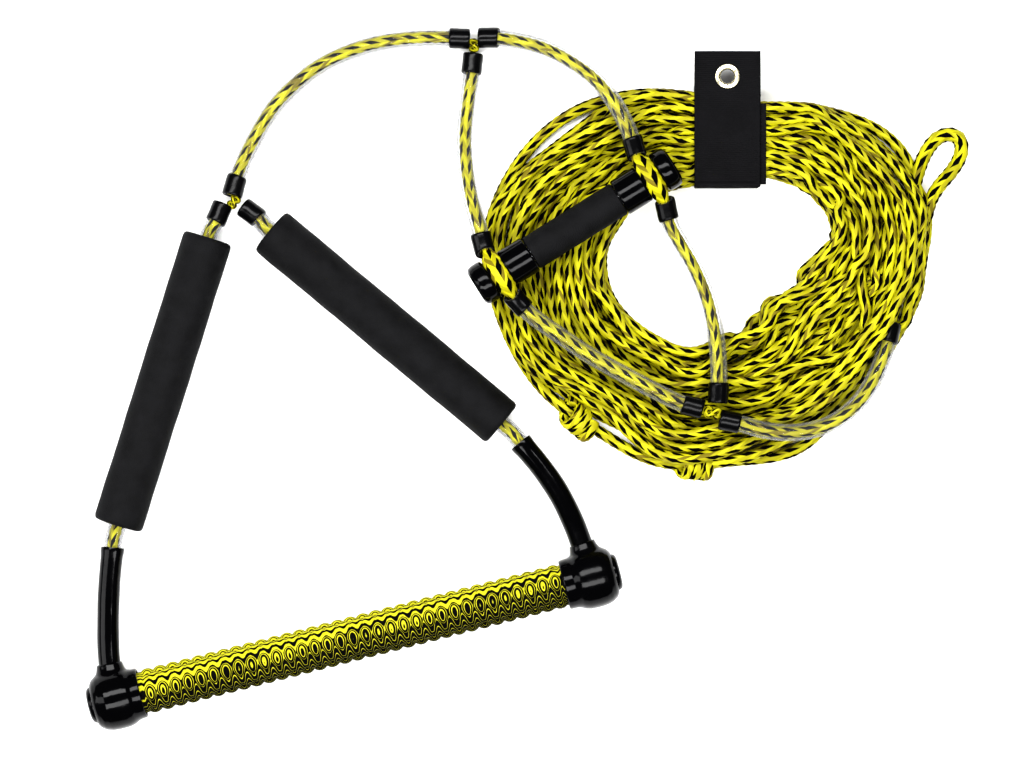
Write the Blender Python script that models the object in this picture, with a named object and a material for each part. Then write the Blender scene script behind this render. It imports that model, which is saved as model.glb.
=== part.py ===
"""Tow rope with two handles, laid out on the floor: a wide two-hand handle with floats, a short trick
handle in a rope diamond, and the mainline wound into a coil inside a keeper strap.

X runs along the main bar, +Y from the bar towards its rope, +Z up from the floor. Layout points are
written in millimetres from the middle of the main bar on the floor, and placed() turns them into metres
from the origin.
"""

import math

import bmesh
import bpy
from mathutils import Matrix, Vector

MM = 0.001
GAP = 0.3  # clearance between touching pieces

# Where the middle of the main bar stands, from the origin under the middle of both handles
BAR_X = -54.322
BAR_Y = -149.625

ROPE_R = 4.0
TUBE_R = 6.0
TUBE_BORE_R = 5.1
SLEEVE_R = 7.2
SLEEVE_BORE_R = TUBE_R + 0.5
SLEEVE_LENGTH = 14.3

# Main handle
BAR_Z = 21.0
GRIP_R = 15.75
GRIP_HALF = 155.5
CORE_R = 9.5
CORE_BORE_R = 7.5
CORE_HALF = 158.0
CAP_IN = 150.0
CAP_OUT = 187.0
CAP_R = 21.0
COLLAR_R = 17.5
CAP_MIDDLE = 170.5
NECK_R = 10.2
GUARD_R = 7.7
GUARD_BORE_R = TUBE_R + 0.45
FLOAT_R = 17.5
FLOAT_BORE_R = 7.0
FLOAT_LENGTH = 210.0
FLOAT_Z = FLOAT_R + 0.1

# Trick handle
TRICK_CENTRE = Vector((219.0, 239.5))
TRICK_ANGLE = math.radians(17.75)
TRICK_Z = 46.6
TRICK_GRIP_R = 12.25
TRICK_GRIP_HALF = 36.0
TRICK_CORE_R = 6.0
GROOVE_IN = 56.0
GROOVE_OUT = 68.0
GROOVE_R = 7.0
TRICK_END = 80.5
GROOVE_MIDDLE = (GROOVE_IN + GROOVE_OUT) / 2

# Coil and keeper
COIL_CENTRE = Vector((309.0, 192.0))
COIL_TOP = 31.5
STRAP_WIDTH = 44.0
STRAP_THICK = 1.5
STRAP_FOLD = Vector((329.0, 241.1))
STRAP_ALONG = Vector((0.2474, 0.9690))
FLAP_Z = 28.7
TAB_END = 93.6
EYELET_AT = 75.8
EYELET_R = 8.7
EYELET_BORE_R = 4.5

YELLOW = (0.86, 0.82, 0.03, 1.0)
BLACK_GLOSS = (0.012, 0.012, 0.013, 1.0)
BLACK_FOAM = (0.03, 0.03, 0.032, 1.0)
WEBBING = (0.015, 0.015, 0.017, 1.0)
CLEAR = (0.85, 0.86, 0.86, 0.4)
STEEL = (0.75, 0.73, 0.62, 1.0)
ALUMINIUM = (0.7, 0.7, 0.72, 1.0)


def placed(x, y, z):
    """A layout point in metres from the origin."""
    return Vector(((x + BAR_X) * MM, (y + BAR_Y) * MM, z * MM))


def material(name, colour, roughness, metallic=0.0):
    made = bpy.data.materials.new(name)
    made.diffuse_color = colour
    made.use_nodes = True
    shader = made.node_tree.nodes["Principled BSDF"]
    shader.inputs["Base Color"].default_value = colour
    shader.inputs["Roughness"].default_value = roughness
    shader.inputs["Metallic"].default_value = metallic
    shader.inputs["Alpha"].default_value = colour[3]
    return made


def add(name, mesh, surface, smooth_angle=40.0):
    """A sub-part from a finished mesh, shaded smooth across edges flatter than smooth_angle."""
    made = bpy.data.objects.new(name, mesh)
    mesh.materials.append(surface)
    mesh.shade_smooth()
    mesh.set_sharp_from_angle(angle=math.radians(smooth_angle))
    bpy.context.scene.collection.objects.link(made)
    return made


def mesh_of(bm, name):
    bmesh.ops.remove_doubles(bm, verts=bm.verts, dist=1e-7)
    bmesh.ops.recalc_face_normals(bm, faces=bm.faces)
    mesh = bpy.data.meshes.new(name)
    bm.to_mesh(mesh)
    bm.free()
    return mesh


def turned(name, profile, surface, where, direction, sides=32):
    """A closed (along, radius) profile turned about an axis that starts at where. The profile is a ring's
    section when no radius is 0."""
    bm = bmesh.new()
    corners = [bm.verts.new((radius * MM, 0, along * MM)) for along, radius in profile]
    edges = []
    for one, two in zip(corners, corners[1:] + corners[:1]):
        if one.co.x + two.co.x > 1e-9:
            edges.append(bm.edges.new((one, two)))
    bmesh.ops.spin(
        bm, geom=corners + edges, cent=(0, 0, 0), axis=(0, 0, 1), angle=math.tau, steps=sides
    )
    turn = Vector((0, 0, 1)).rotation_difference(Vector(direction)).to_matrix().to_4x4()
    bmesh.ops.transform(bm, matrix=Matrix.Translation(where) @ turn, verts=bm.verts)
    return add(name, mesh_of(bm, name), surface)


class Route:
    """A smooth curve through points, measured along its length in millimetres."""

    def __init__(self, points, fineness=24):
        knots = [Vector(p) for p in points]
        ends = [knots[0] * 2 - knots[1]] + knots + [knots[-1] * 2 - knots[-2]]
        self.points = []
        for a, b, c, d in zip(ends, ends[1:], ends[2:], ends[3:]):
            for step in range(fineness):
                self.points.append(spline_point(a, b, c, d, step / fineness))
        self.points.append(knots[-1])
        self.marks = [0.0]
        for one, two in zip(self.points, self.points[1:]):
            self.marks.append(self.marks[-1] + (two - one).length)
        self.length = self.marks[-1]

    def at(self, distance):
        distance = min(max(distance, 0.0), self.length)
        low, high = 0, len(self.marks) - 1
        while high - low > 1:
            middle = (low + high) // 2
            if self.marks[middle] <= distance:
                low = middle
            else:
                high = middle
        share = (distance - self.marks[low]) / max(self.marks[high] - self.marks[low], 1e-9)
        return self.points[low].lerp(self.points[high], share)

    def near(self, point):
        """How far along the route comes closest to a point."""
        target = Vector(point)
        nearest = min(range(len(self.points)), key=lambda i: (self.points[i] - target).length)
        return self.marks[nearest]

    def heading(self, distance):
        return (self.at(distance + 0.5) - self.at(distance - 0.5)).normalized()

    def stretch(self, start, end, spacing):
        """Points evenly along the route between two distances."""
        count = max(2, round(abs(end - start) / spacing) + 1)
        return [self.at(start + (end - start) * i / (count - 1)) for i in range(count)]

    def strays(self, start, end):
        """How far the curve between two distances strays from the straight line between its ends."""
        one, two = self.at(start), self.at(end)
        worst = 0.0
        for share in (0.25, 0.5, 0.75):
            spot = self.at(start + (end - start) * share)
            worst = max(worst, (spot - one.lerp(two, share)).length)
        return worst

    def followed(self, start, end, longest=24.0, stray=0.25):
        """Points between two distances, closer together where the route bends."""
        spots = [self.at(start)]
        while end - start > 1e-6:
            step = min(longest, end - start)
            while step > 3.0 and self.strays(start, start + step) > stray:
                step *= 0.85
            if end - start - step < 2.0:
                step = end - start
            start += step
            spots.append(self.at(start))
        return spots

    def sleeved(self, start, end):
        """The points of a tube whose ends sit in sleeves, in step with the sleeves' own points."""
        step = SLEEVE_LENGTH / 2
        first = [self.at(start + GAP), self.at(start + step), self.at(start + SLEEVE_LENGTH)]
        last = [self.at(end - SLEEVE_LENGTH), self.at(end - step), self.at(end - GAP)]
        between = self.followed(start + SLEEVE_LENGTH, end - SLEEVE_LENGTH)[1:-1]
        return first + between + last


def spline_point(a, b, c, d, t):
    """A point between b and c on the centripetal Catmull-Rom curve through a, b, c and d."""
    t0 = 0.0
    t1 = t0 + (b - a).length ** 0.5
    t2 = t1 + (c - b).length ** 0.5
    t3 = t2 + (d - c).length ** 0.5
    t = t1 + (t2 - t1) * t
    ab = a.lerp(b, (t - t0) / (t1 - t0))
    bc = b.lerp(c, (t - t1) / (t2 - t1))
    cd = c.lerp(d, (t - t2) / (t3 - t2))
    abc = ab.lerp(bc, (t - t0) / (t2 - t0))
    bcd = bc.lerp(cd, (t - t1) / (t3 - t1))
    return abc.lerp(bcd, (t - t1) / (t2 - t1))


def rod(name, points, radius, surface):
    """A rope or other solid round length: a bevelled curve with filled ends."""
    data = bpy.data.curves.new(name, "CURVE")
    data.dimensions = "3D"
    data.bevel_depth = radius * MM
    data.bevel_resolution = 2
    data.use_fill_caps = True
    spline = data.splines.new("POLY")
    spline.points.add(len(points) - 1)
    for target, point in zip(spline.points, points):
        target.co = (*placed(*point), 1.0)
    spline.use_smooth = True
    data.materials.append(surface)
    made = bpy.data.objects.new(name, data)
    bpy.context.scene.collection.objects.link(made)
    return made


def cross_frames(points):
    """Two unit directions across the path at each point, carried along it without twist."""
    frames = []
    side = None
    for i, point in enumerate(points):
        ahead = points[min(i + 1, len(points) - 1)] - points[max(i - 1, 0)]
        ahead.normalize()
        if side is None:
            side = ahead.orthogonal().normalized()
        side = (side - ahead * side.dot(ahead)).normalized()
        frames.append((side, ahead.cross(side)))
    return frames


def hose(name, points, outer, bore, surface, sides=8):
    """A tube with an open bore along a path."""
    bm = bmesh.new()
    frames = cross_frames(points)
    rings = {}
    for radius in (outer, bore):
        rings[radius] = []
        for point, (one, two) in zip(points, frames):
            ring = []
            for k in range(sides):
                angle = math.tau * k / sides
                spot = point + (one * math.cos(angle) + two * math.sin(angle)) * radius
                ring.append(bm.verts.new(placed(*spot)))
            rings[radius].append(ring)
    strips = list(zip(rings[outer], rings[outer][1:])) + list(zip(rings[bore], rings[bore][1:]))
    strips += [(rings[outer][0], rings[bore][0]), (rings[outer][-1], rings[bore][-1])]
    for one, two in strips:
        for k in range(sides):
            j = (k + 1) % sides
            bm.faces.new((one[k], one[j], two[j], two[k]))
    return add(name, mesh_of(bm, name), surface)


def sleeve(name, route, start, surface, length=SLEEVE_LENGTH):
    """A short black sleeve shrunk over the end of a clear tube, with rounded rims."""
    points = route.stretch(start, start + length, length / 2)
    return hose(name, points, SLEEVE_R, SLEEVE_BORE_R, surface, sides=12)


def cut(target, cutter, operation="DIFFERENCE"):
    """A Boolean on target. The cutter stays in the scene as a hidden guide."""
    cutter.hide_render = True
    cutter.display_type = "WIRE"
    boolean = target.modifiers.new(operation.title(), "BOOLEAN")
    boolean.operation = operation
    boolean.solver = "EXACT"
    boolean.object = cutter


def barrel(name, centre, direction, length, radius, surface, waist=0.72, sides=16):
    """A short rounded lump of knotted rope, its axis along direction."""
    half = length / 2
    profile = [(-half, 0.0), (-half, radius * waist), (-half * 0.5, radius), (half * 0.5, radius)]
    profile += [(half, radius * waist), (half, 0.0)]
    return turned(name, profile, surface, placed(*centre), direction, sides)


def trick_point(along, across, up=0.0):
    """A layout point measured along the trick bar, across it towards the leader, and up from its axis."""
    c, s = math.cos(TRICK_ANGLE), math.sin(TRICK_ANGLE)
    x = TRICK_CENTRE.x + along * c - across * s
    y = TRICK_CENTRE.y + along * s + across * c
    return Vector((x, y, TRICK_Z + up))


def strap_point(along, across, z):
    """A layout point measured along the keeper strap from its fold, across it to the right, and up."""
    right = Vector((STRAP_ALONG.y, -STRAP_ALONG.x))
    spot = STRAP_FOLD + STRAP_ALONG * along + right * across
    return Vector((spot.x, spot.y, z))


# ---- Routes of the ropes ----

# Each leg from its junction sleeve, through the float, down to the guard and into the cap.
LEFT_LEG = [
    (-14.2, 316.0, 14.0),
    (-22.8, 304.6, 15.8),
    (-27.0, 300.4, 17.2),
    (-29.6, 296.2, FLOAT_Z),
    (-85.1, 206.5, FLOAT_Z),
    (-140.6, 116.8, FLOAT_Z),
    (-144.8, 110.0, FLOAT_Z),
    (-148.6, 100.0, 18.0),
    (-155.0, 82.0, 19.0),
    (-161.0, 62.0, 20.0),
    (-166.6, 40.0, 20.8),
    (-169.3, 26.0, BAR_Z),
    (-170.1, 17.0, BAR_Z),
]
RIGHT_LEG = [
    (-1.2, 310.6, 14.0),
    (7.6, 299.5, 15.8),
    (10.0, 294.0, 17.0),
    (13.6, 289.0, FLOAT_Z),
    (75.0, 204.2, FLOAT_Z),
    (136.8, 118.8, FLOAT_Z),
    (141.2, 112.7, FLOAT_Z),
    (147.0, 101.0, 18.0),
    (153.6, 82.0, 19.0),
    (160.0, 62.0, 20.0),
    (166.2, 40.0, 20.8),
    (169.3, 26.0, BAR_Z),
    (170.1, 17.0, BAR_Z),
]
GUARD_TOP = {"left": (-147.4, 103.0, 18.0), "right": (145.6, 103.6, 18.0)}
GUARD_FOOT = {"left": (-170.2, 19.0, BAR_Z), "right": (170.2, 19.0, BAR_Z)}
FLOAT_MIDDLE = {"left": (-85.1, 206.5, FLOAT_Z), "right": (75.0, 204.2, FLOAT_Z)}

# The rope turns inside each cap from the leg into the bar.
CAP_TURN = [(169.2, 9.5, BAR_Z), (165.0, 3.6, BAR_Z), (158.0, 0.6, BAR_Z), (150.0, 0.0, BAR_Z)]

LEADER = [
    (-7.0, 319.8, 13.4),
    (-0.4, 331.2, 11.6),
    (12.6, 348.6, 7.6),
    (35.1, 371.7, 6.1),
    (52.5, 383.2, 6.1),
    (72.9, 392.4, 6.1),
    (95.8, 397.4, 6.1),
    (121.3, 398.2, 6.1),
    (145.7, 394.8, 6.3),
    (166.4, 389.6, 7.3),
    (181.0, 385.4, 7.5),
]

UPPER_LEFT = [
    (180.9, 374.8, 7.5),
    (175.8, 361.2, 8.5),
    (168.0, 341.5, 12.0),
    (161.0, 321.8, 18.0),
    (156.4, 300.8, 27.0),
    (154.0, 276.6, 37.5),
    (154.4, 256.0, 45.0),
]
UPPER_RIGHT = [
    (187.0, 384.6, 7.5),
    (201.0, 381.0, 8.8),
    (213.5, 375.6, 12.0),
    (230.2, 365.6, 18.5),
    (245.8, 351.0, 28.0),
    (257.5, 335.9, 36.5),
    (265.0, 320.5, 42.0),
    (269.6, 304.5, 45.5),
    (272.0, 290.0, 46.8),
]
LOWER_LEFT = [
    (173.6, 189.0, 46.0),
    (189.5, 169.9, 44.5),
    (206.4, 151.1, 43.0),
    (223.8, 134.4, 41.6),
    (241.4, 118.4, 40.4),
    (259.7, 103.0, 39.4),
    (273.6, 94.8, 39.0),
]
LOWER_RIGHT = [
    (283.4, 225.0, 46.0),
    (287.6, 209.0, 44.8),
    (292.1, 193.5, 43.6),
    (295.9, 168.5, 42.0),
    (295.3, 144.8, 40.5),
    (292.3, 124.0, 39.4),
    (289.0, 110.2, 39.0),
    (284.7, 96.5, 39.0),
]
# Over a groove, from the upper sleeve to the lower one: (across the bar, above its axis).
OVER_GROOVE = [(17.5, 0.4), (13.2, 4.5), (8.2, 8.9), (0.0, 11.5), (-8.2, 8.9), (-13.2, 4.5), (-17.5, 0.4)]

MAINLINE = [
    (283.3, 85.2, 39.0),
    (296.2, 78.9, 39.0),
    (312.2, 70.0, 38.8),
    (328.8, 64.3, 38.2),
    (344.4, 62.4, 37.2),
    (361.4, 63.7, 35.0),
    (381.4, 71.4, 30.0),
    (399.2, 84.6, 25.0),
    (412.6, 101.6, 21.5),
    (421.4, 114.5, 19.5),
    (429.0, 125.0, 18.0),
]
TOW_LOOP = [
    (463.4, 231.6, 9.0),
    (471.0, 238.4, 6.0),
    (482.4, 242.6, 4.2),
    (492.5, 240.0, 4.2),
    (497.0, 232.2, 4.2),
    (494.0, 223.5, 4.2),
    (486.6, 213.2, 4.2),
    (477.4, 205.0, 4.6),
    (470.0, 200.6, 6.0),
]

# The coil's outer and inner radius about its centre, every 20 degrees from +X.
COIL_OUTER = [153, 151, 131, 113, 115, 130, 146, 156, 161, 156, 147, 131, 142, 132, 142, 130, 125, 139]
COIL_INNER = [84, 80, 72, 62, 57, 57, 64, 69, 76, 76, 71, 66, 63, 54, 48, 45, 50, 61]
# Its section: (share of the half width from the middle, share of the height).
COIL_SECTION = [
    (-0.62, 0.0),
    (0.62, 0.0),
    (0.92, 0.18),
    (1.0, 0.45),
    (0.9, 0.75),
    (0.62, 0.96),
    (0.0, 1.0),
    (-0.62, 0.96),
    (-0.9, 0.75),
    (-1.0, 0.45),
    (-0.92, 0.18),
]


# ---- Main handle ----


def build_main_bar(yellow, foam, gloss, metal):
    start = placed(-CORE_HALF, 0, BAR_Z)
    along = (1, 0, 0)
    core = [(0, CORE_BORE_R), (0, CORE_R), (2 * CORE_HALF, CORE_R), (2 * CORE_HALF, CORE_BORE_R)]
    turned("main_core_tube", core, metal, start, along, 24)
    grip_bore = CORE_R + GAP
    grip = [(0, grip_bore), (0, GRIP_R), (2 * GRIP_HALF, GRIP_R), (2 * GRIP_HALF, grip_bore)]
    turned("main_grip", grip, yellow, placed(-GRIP_HALF, 0, BAR_Z), along, 32)
    for side, sign in (("left", -1), ("right", 1)):
        build_cap(side, sign, gloss)
        plug_from = CAP_OUT + GAP - 3.0
        plug = [(0, 0.0), (0, 7.6), (3.4, 7.6), (3.4, 13.0), (5.4, 13.0), (6.2, 12.2), (6.2, 0.0)]
        turned(f"main_plug_{side}", plug, foam, placed(sign * plug_from, 0, BAR_Z), (sign, 0, 0), 20)


def build_cap(side, sign, gloss):
    """A bulb with a collar over the grip, a bore for the core tube and a neck towards the leg."""
    shell = [
        (CAP_IN, GRIP_R + GAP),
        (CAP_IN, COLLAR_R - 0.6),
        (CAP_IN + 0.8, COLLAR_R),
        (158.0, COLLAR_R),
        (163.0, 20.2),
        (168.5, CAP_R),
        (174.0, CAP_R),
        (180.0, 19.8),
        (185.0, 16.6),
        (CAP_OUT, 13.4),
        (CAP_OUT, 8.0),
        (178.0, 8.0),
        (178.0, 12.0),
        (CORE_HALF + GAP, 12.0),
        (CORE_HALF + GAP, CORE_R + GAP),
        (GRIP_HALF + GAP, CORE_R + GAP),
        (GRIP_HALF + GAP, GRIP_R + GAP),
    ]
    cap = turned(f"main_cap_{side}", shell, gloss, placed(0, 0, BAR_Z), (sign, 0, 0), 28)
    foot = Vector((sign * CAP_MIDDLE, 12.5, BAR_Z))
    rim = Vector((sign * 169.2, 27.5, BAR_Z))
    up_neck = (rim - foot).normalized()
    long = (rim - foot).length
    neck = [(0, 0.0), (0, NECK_R), (long - 0.8, NECK_R), (long, NECK_R - 0.8), (long, 0.0)]
    cut(cap, turned(f"neck_guide_{side}", neck, gloss, placed(*foot), up_neck, 20), "UNION")
    bore_r = GUARD_R + 0.6
    bore = [(-8.0, 0.0), (-8.0, bore_r), (long + 3, bore_r), (long + 3, 0.0)]
    cut(cap, turned(f"neck_bore_{side}", bore, gloss, placed(*foot), up_neck, 16))


def build_leg(side, points, clear, gloss, foam):
    route = Route(points)
    sleeve(f"leg_sleeve_{side}", route, 0.0, gloss)
    top = route.near(GUARD_TOP[side])
    foot = route.near(GUARD_FOOT[side])
    step = (foot - top) / 8
    tube = [route.at(GAP), route.at(SLEEVE_LENGTH / 2), route.at(SLEEVE_LENGTH)]
    tube += route.followed(SLEEVE_LENGTH, top, 40.0)[1:]
    tube += [route.at(top + step * i) for i in (1, 2)]
    hose(f"leg_tube_{side}", tube, TUBE_R, TUBE_BORE_R, clear)
    guard = [route.at(top + step * i) for i in range(9)]
    hose(f"rope_guard_{side}", guard, GUARD_R, GUARD_BORE_R, gloss, 12)
    middle = route.near(FLOAT_MIDDLE[side])
    ahead = -route.heading(middle)
    half = FLOAT_LENGTH / 2
    shell = [(-half, FLOAT_BORE_R), (-half, FLOAT_R - 3.0), (-half + 0.8, FLOAT_R - 1.2)]
    shell += [(-half + 3.0, FLOAT_R), (half - 3.0, FLOAT_R), (half - 0.8, FLOAT_R - 1.2)]
    shell += [(half, FLOAT_R - 3.0), (half, FLOAT_BORE_R)]
    turned(f"float_{side}", shell, foam, placed(*route.at(middle)), ahead, 24)


def build_bridle_rope(yellow):
    """One rope down the left leg, through the bar and up the right leg."""
    left_turn = [(-x, y, z) for x, y, z in CAP_TURN]
    middle = [(x, 0.0, BAR_Z) for x in (-75.0, 0.0, 75.0)]
    points = LEFT_LEG + left_turn + middle + CAP_TURN[::-1] + RIGHT_LEG[::-1]
    route = Route(points)
    rod("bridle_rope", route.followed(0.6, route.length - 0.6), ROPE_R, yellow)


# ---- Leader ----


def build_leader(yellow, clear, gloss):
    route = Route(LEADER)
    sleeve("leader_sleeve_near", route, 0.0, gloss)
    sleeve("leader_sleeve_far", route, route.length - SLEEVE_LENGTH, gloss)
    hose("leader_tube", route.sleeved(0.0, route.length), TUBE_R, TUBE_BORE_R, clear)
    rod("leader_rope", route.followed(2.0, route.length - 1.4), ROPE_R, yellow)


# ---- Trick handle ----


def build_trick_bar(foam, gloss, metal):
    direction = trick_point(1, 0) - trick_point(0, 0)
    start = placed(*trick_point(0, 0))
    core_half = 62.0
    core = [(-core_half, 3.6), (-core_half, TRICK_CORE_R), (core_half, TRICK_CORE_R), (core_half, 3.6)]
    turned("trick_core", core, metal, start, direction, 24)
    half = TRICK_GRIP_HALF
    bore = TRICK_CORE_R + GAP
    turned("trick_grip", [(-half, bore), (-half, TRICK_GRIP_R), (half, TRICK_GRIP_R), (half, bore)],
           foam, start, direction, 24)
    face = TRICK_GRIP_HALF + GAP
    for side, sign in (("left", -1), ("right", 1)):
        shell = [
            (face, TRICK_CORE_R + GAP),
            (face, 13.3),
            (GROOVE_IN - 1.0, 13.3),
            (GROOVE_IN, 12.3),
            (GROOVE_IN, GROOVE_R),
            (GROOVE_OUT, GROOVE_R),
            (GROOVE_OUT, 13.0),
            (GROOVE_OUT + 2.0, 14.75),
            (TRICK_END - 3.6, 14.75),
            (TRICK_END, 11.4),
            (TRICK_END, 0.0),
            (core_half + GAP, 0.0),
            (core_half + GAP, TRICK_CORE_R + GAP),
        ]
        turned(f"trick_cap_{side}", shell, gloss, start, direction * sign, 20)


def build_trick_rope(side, groove, upper, lower, yellow, clear, gloss):
    """The rope on one side of the diamond, from the upper junction over the groove to the lower one."""
    over = [trick_point(groove, across, up) for across, up in OVER_GROOVE]
    points = [Vector(p) for p in upper] + over + [Vector(p) for p in lower]
    route = Route(points)
    into = route.near(over[0])
    out = route.near(over[-1])
    upper_points = route.sleeved(0.0, into)
    lower_points = route.sleeved(out, route.length)
    rope = [route.at(0.8)] + upper_points[1:-1] + route.stretch(into, out, 5.0)
    rope += lower_points[1:-1] + [route.at(route.length - 0.8)]
    rod(f"trick_rope_{side}", rope, ROPE_R, yellow)
    sleeve(f"upper_sleeve_{side}", route, 0.0, gloss)
    sleeve(f"cap_sleeve_upper_{side}", route, into - SLEEVE_LENGTH, gloss)
    sleeve(f"cap_sleeve_lower_{side}", route, out, gloss)
    sleeve(f"lower_sleeve_{side}", route, route.length - SLEEVE_LENGTH, gloss)
    hose(f"branch_tube_upper_{side}", upper_points, TUBE_R, TUBE_BORE_R, clear)
    hose(f"branch_tube_lower_{side}", lower_points, TUBE_R, TUBE_BORE_R, clear)
    build_eye(f"trick_eye_{side}", groove, yellow)


def build_eye(name, groove, yellow):
    """The half of the braid that passes under the groove: a flat band bent through an arc."""
    bm = bmesh.new()
    inner, outer, half = GROOVE_R + 0.4, GROOVE_R + 3.2, 4.8
    rings = []
    steps = 10
    for i in range(steps + 1):
        angle = math.radians(205 + 130 * i / steps)
        ring = []
        for radius, side in ((inner, -half), (outer, -half), (outer, half), (inner, half)):
            spot = trick_point(groove + side, radius * math.cos(angle), radius * math.sin(angle))
            ring.append(bm.verts.new(placed(*spot)))
        rings.append(ring)
    for one, two in zip(rings, rings[1:]):
        for k in range(4):
            j = (k + 1) % 4
            bm.faces.new((one[k], one[j], two[j], two[k]))
    bm.faces.new(rings[0])
    bm.faces.new(rings[-1])
    add(name, mesh_of(bm, name), yellow)


# ---- Mainline ----


def wrapped_smooth(values, turn):
    """A value on the closed smooth curve through evenly spaced values, at a share of the whole turn."""
    count = len(values)
    place = turn * count
    i = int(math.floor(place))
    t = place - i
    a, b, c, d = (values[(i + k) % count] for k in (-1, 0, 1, 2))
    return b + 0.5 * t * (c - a + t * (2 * a - 5 * b + 4 * c - d + t * (3 * (b - c) + d - a)))


def build_coil(yellow):
    """One closed ring with the coil's outer shape, pinched where the keeper strap goes round it."""
    bm = bmesh.new()
    stations = 45
    strap_turn = math.atan2(STRAP_ALONG.y * 32 + 49.0, STRAP_ALONG.x * 32 + 20.0) / math.tau
    rings = []
    for i in range(stations):
        turn = i / stations
        away = abs((turn - strap_turn + 0.5) % 1.0 - 0.5)
        pinch = 1.0 - min(max((away - 0.055) / 0.05, 0.0), 1.0)
        pinch = pinch * pinch * (3 - 2 * pinch)
        outer = wrapped_smooth(COIL_OUTER, turn)
        inner = wrapped_smooth(COIL_INNER, turn)
        low = 2.2 * pinch
        high = COIL_TOP - 4.0 * pinch
        ring = []
        for across, up in COIL_SECTION:
            radius = (outer + inner) / 2 + across * (outer - inner) / 2
            x = COIL_CENTRE.x + radius * math.cos(turn * math.tau)
            y = COIL_CENTRE.y + radius * math.sin(turn * math.tau)
            ring.append(bm.verts.new(placed(x, y, low + up * (high - low))))
        rings.append(ring)
    for one, two in zip(rings, rings[1:] + rings[:1]):
        for k in range(len(one)):
            j = (k + 1) % len(one)
            bm.faces.new((one[k], one[j], two[j], two[k]))
    add("mainline_coil", mesh_of(bm, "mainline_coil"), yellow, 60)


def build_mainline(yellow, clear, gloss):
    route = Route(MAINLINE)
    tube_end = route.near((421.4, 114.5, 19.5))
    sleeve("mainline_sleeve", route, 0.0, gloss)
    sleeve("mainline_end_sleeve", route, tube_end - SLEEVE_LENGTH, gloss)
    hose("mainline_tube", route.sleeved(0.0, tube_end), TUBE_R, TUBE_BORE_R, clear)
    rod("mainline_lead", route.followed(2.2, route.length), ROPE_R, yellow)
    build_coil(yellow)
    loop = Route(TOW_LOOP)
    rod("tow_loop", loop.stretch(0.0, loop.length, 7.0), ROPE_R, yellow)
    barrel("section_knot", (186.4, 107.0, 10.0), (0.62, -0.78, 0), 20.0, 8.5, yellow)
    barrel("coil_whipping", (258.0, 54.0, 8.4), (1.0, -0.25, 0), 18.0, 8.0, yellow)


def build_splices(yellow):
    """The knotted lump of rope at each junction."""
    barrel("splice_first", (-6.3, 314.9, 14.0), (0.9, -0.3, 0), 6.0, 3.2, yellow, 0.6, 12)
    barrel("splice_upper", (182.6, 379.6, 7.5), (0.6, -0.8, 0), 4.6, 2.6, yellow, 0.6, 12)
    barrel("splice_lower", (280.0, 91.6, 39.0), (0.9, 0.3, 0), 8.0, 4.4, yellow, 0.6, 12)


# ---- Keeper ----


def build_band(name, line, surface, width=STRAP_WIDTH, thick=STRAP_THICK, shift=0.0):
    """A flat band of webbing whose middle follows a line of (along, height)."""
    bm = bmesh.new()
    rings = []
    for i, (along, z) in enumerate(line):
        before, after = line[max(i - 1, 0)], line[min(i + 1, len(line) - 1)]
        ahead = Vector((after[0] - before[0], after[1] - before[1])).normalized()
        off = Vector((-ahead.y, ahead.x)) * thick / 2
        ring = []
        for sign, across in ((1, -width / 2), (1, width / 2), (-1, width / 2), (-1, -width / 2)):
            spot = strap_point(along + sign * off.x, across + shift, z + sign * off.y)
            ring.append(bm.verts.new(placed(*spot)))
        rings.append(ring)
    for one, two in zip(rings, rings[1:]):
        for k in range(4):
            j = (k + 1) % 4
            bm.faces.new((one[k], one[j], two[j], two[k]))
    bm.faces.new(rings[0])
    bm.faces.new(rings[-1])
    return add(name, mesh_of(bm, name), surface)


def eyelet_hole(name, radius, surface):
    """A hidden cutter through both layers of the tab."""
    where = placed(*strap_point(EYELET_AT, 0, 20.0))
    return turned(name, [(0, 0.0), (0, radius), (16, radius), (16, 0.0)], surface, where, (0, 0, 1), 24)


def build_keeper(webbing, steel):
    around = [
        (-0.2, 26.6),
        (-0.4, 14.0),
        (0.0, 3.4),
        (1.7, 1.2),
        (5.3, 0.85),
        (30.0, 0.85),
        (64.0, 0.85),
        (67.0, 1.4),
        (69.4, 4.0),
        (70.0, 12.0),
        (70.2, 20.0),
        (71.2, 23.6),
        (75.0, 25.0),
        (80.0, 25.1),
        (92.1, 25.1),
    ]
    strap = build_band("keeper_strap", around, webbing, shift=1.6)
    cut(strap, eyelet_hole("strap_hole", EYELET_R + 0.4, webbing))
    flap = build_band("keeper_flap", [(0.8, FLAP_Z), (40.0, FLAP_Z), (TAB_END, FLAP_Z)], webbing)
    cut(flap, eyelet_hole("flap_hole", EYELET_BORE_R + 1.3, webbing))
    patch = STRAP_WIDTH - 4.0
    hook_z = FLAP_Z - STRAP_THICK / 2 - GAP - 0.4
    hook = build_band("keeper_hook", [(86.2, hook_z), (91.8, hook_z)], webbing, patch, 0.8)
    hook.data.name = "keeper_hook"
    loop_z = 25.1 + STRAP_THICK / 2 + GAP + 0.25
    build_band("keeper_loop", [(86.2, loop_z), (91.8, loop_z)], webbing, patch, 0.5)
    build_eyelet(steel)


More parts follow.
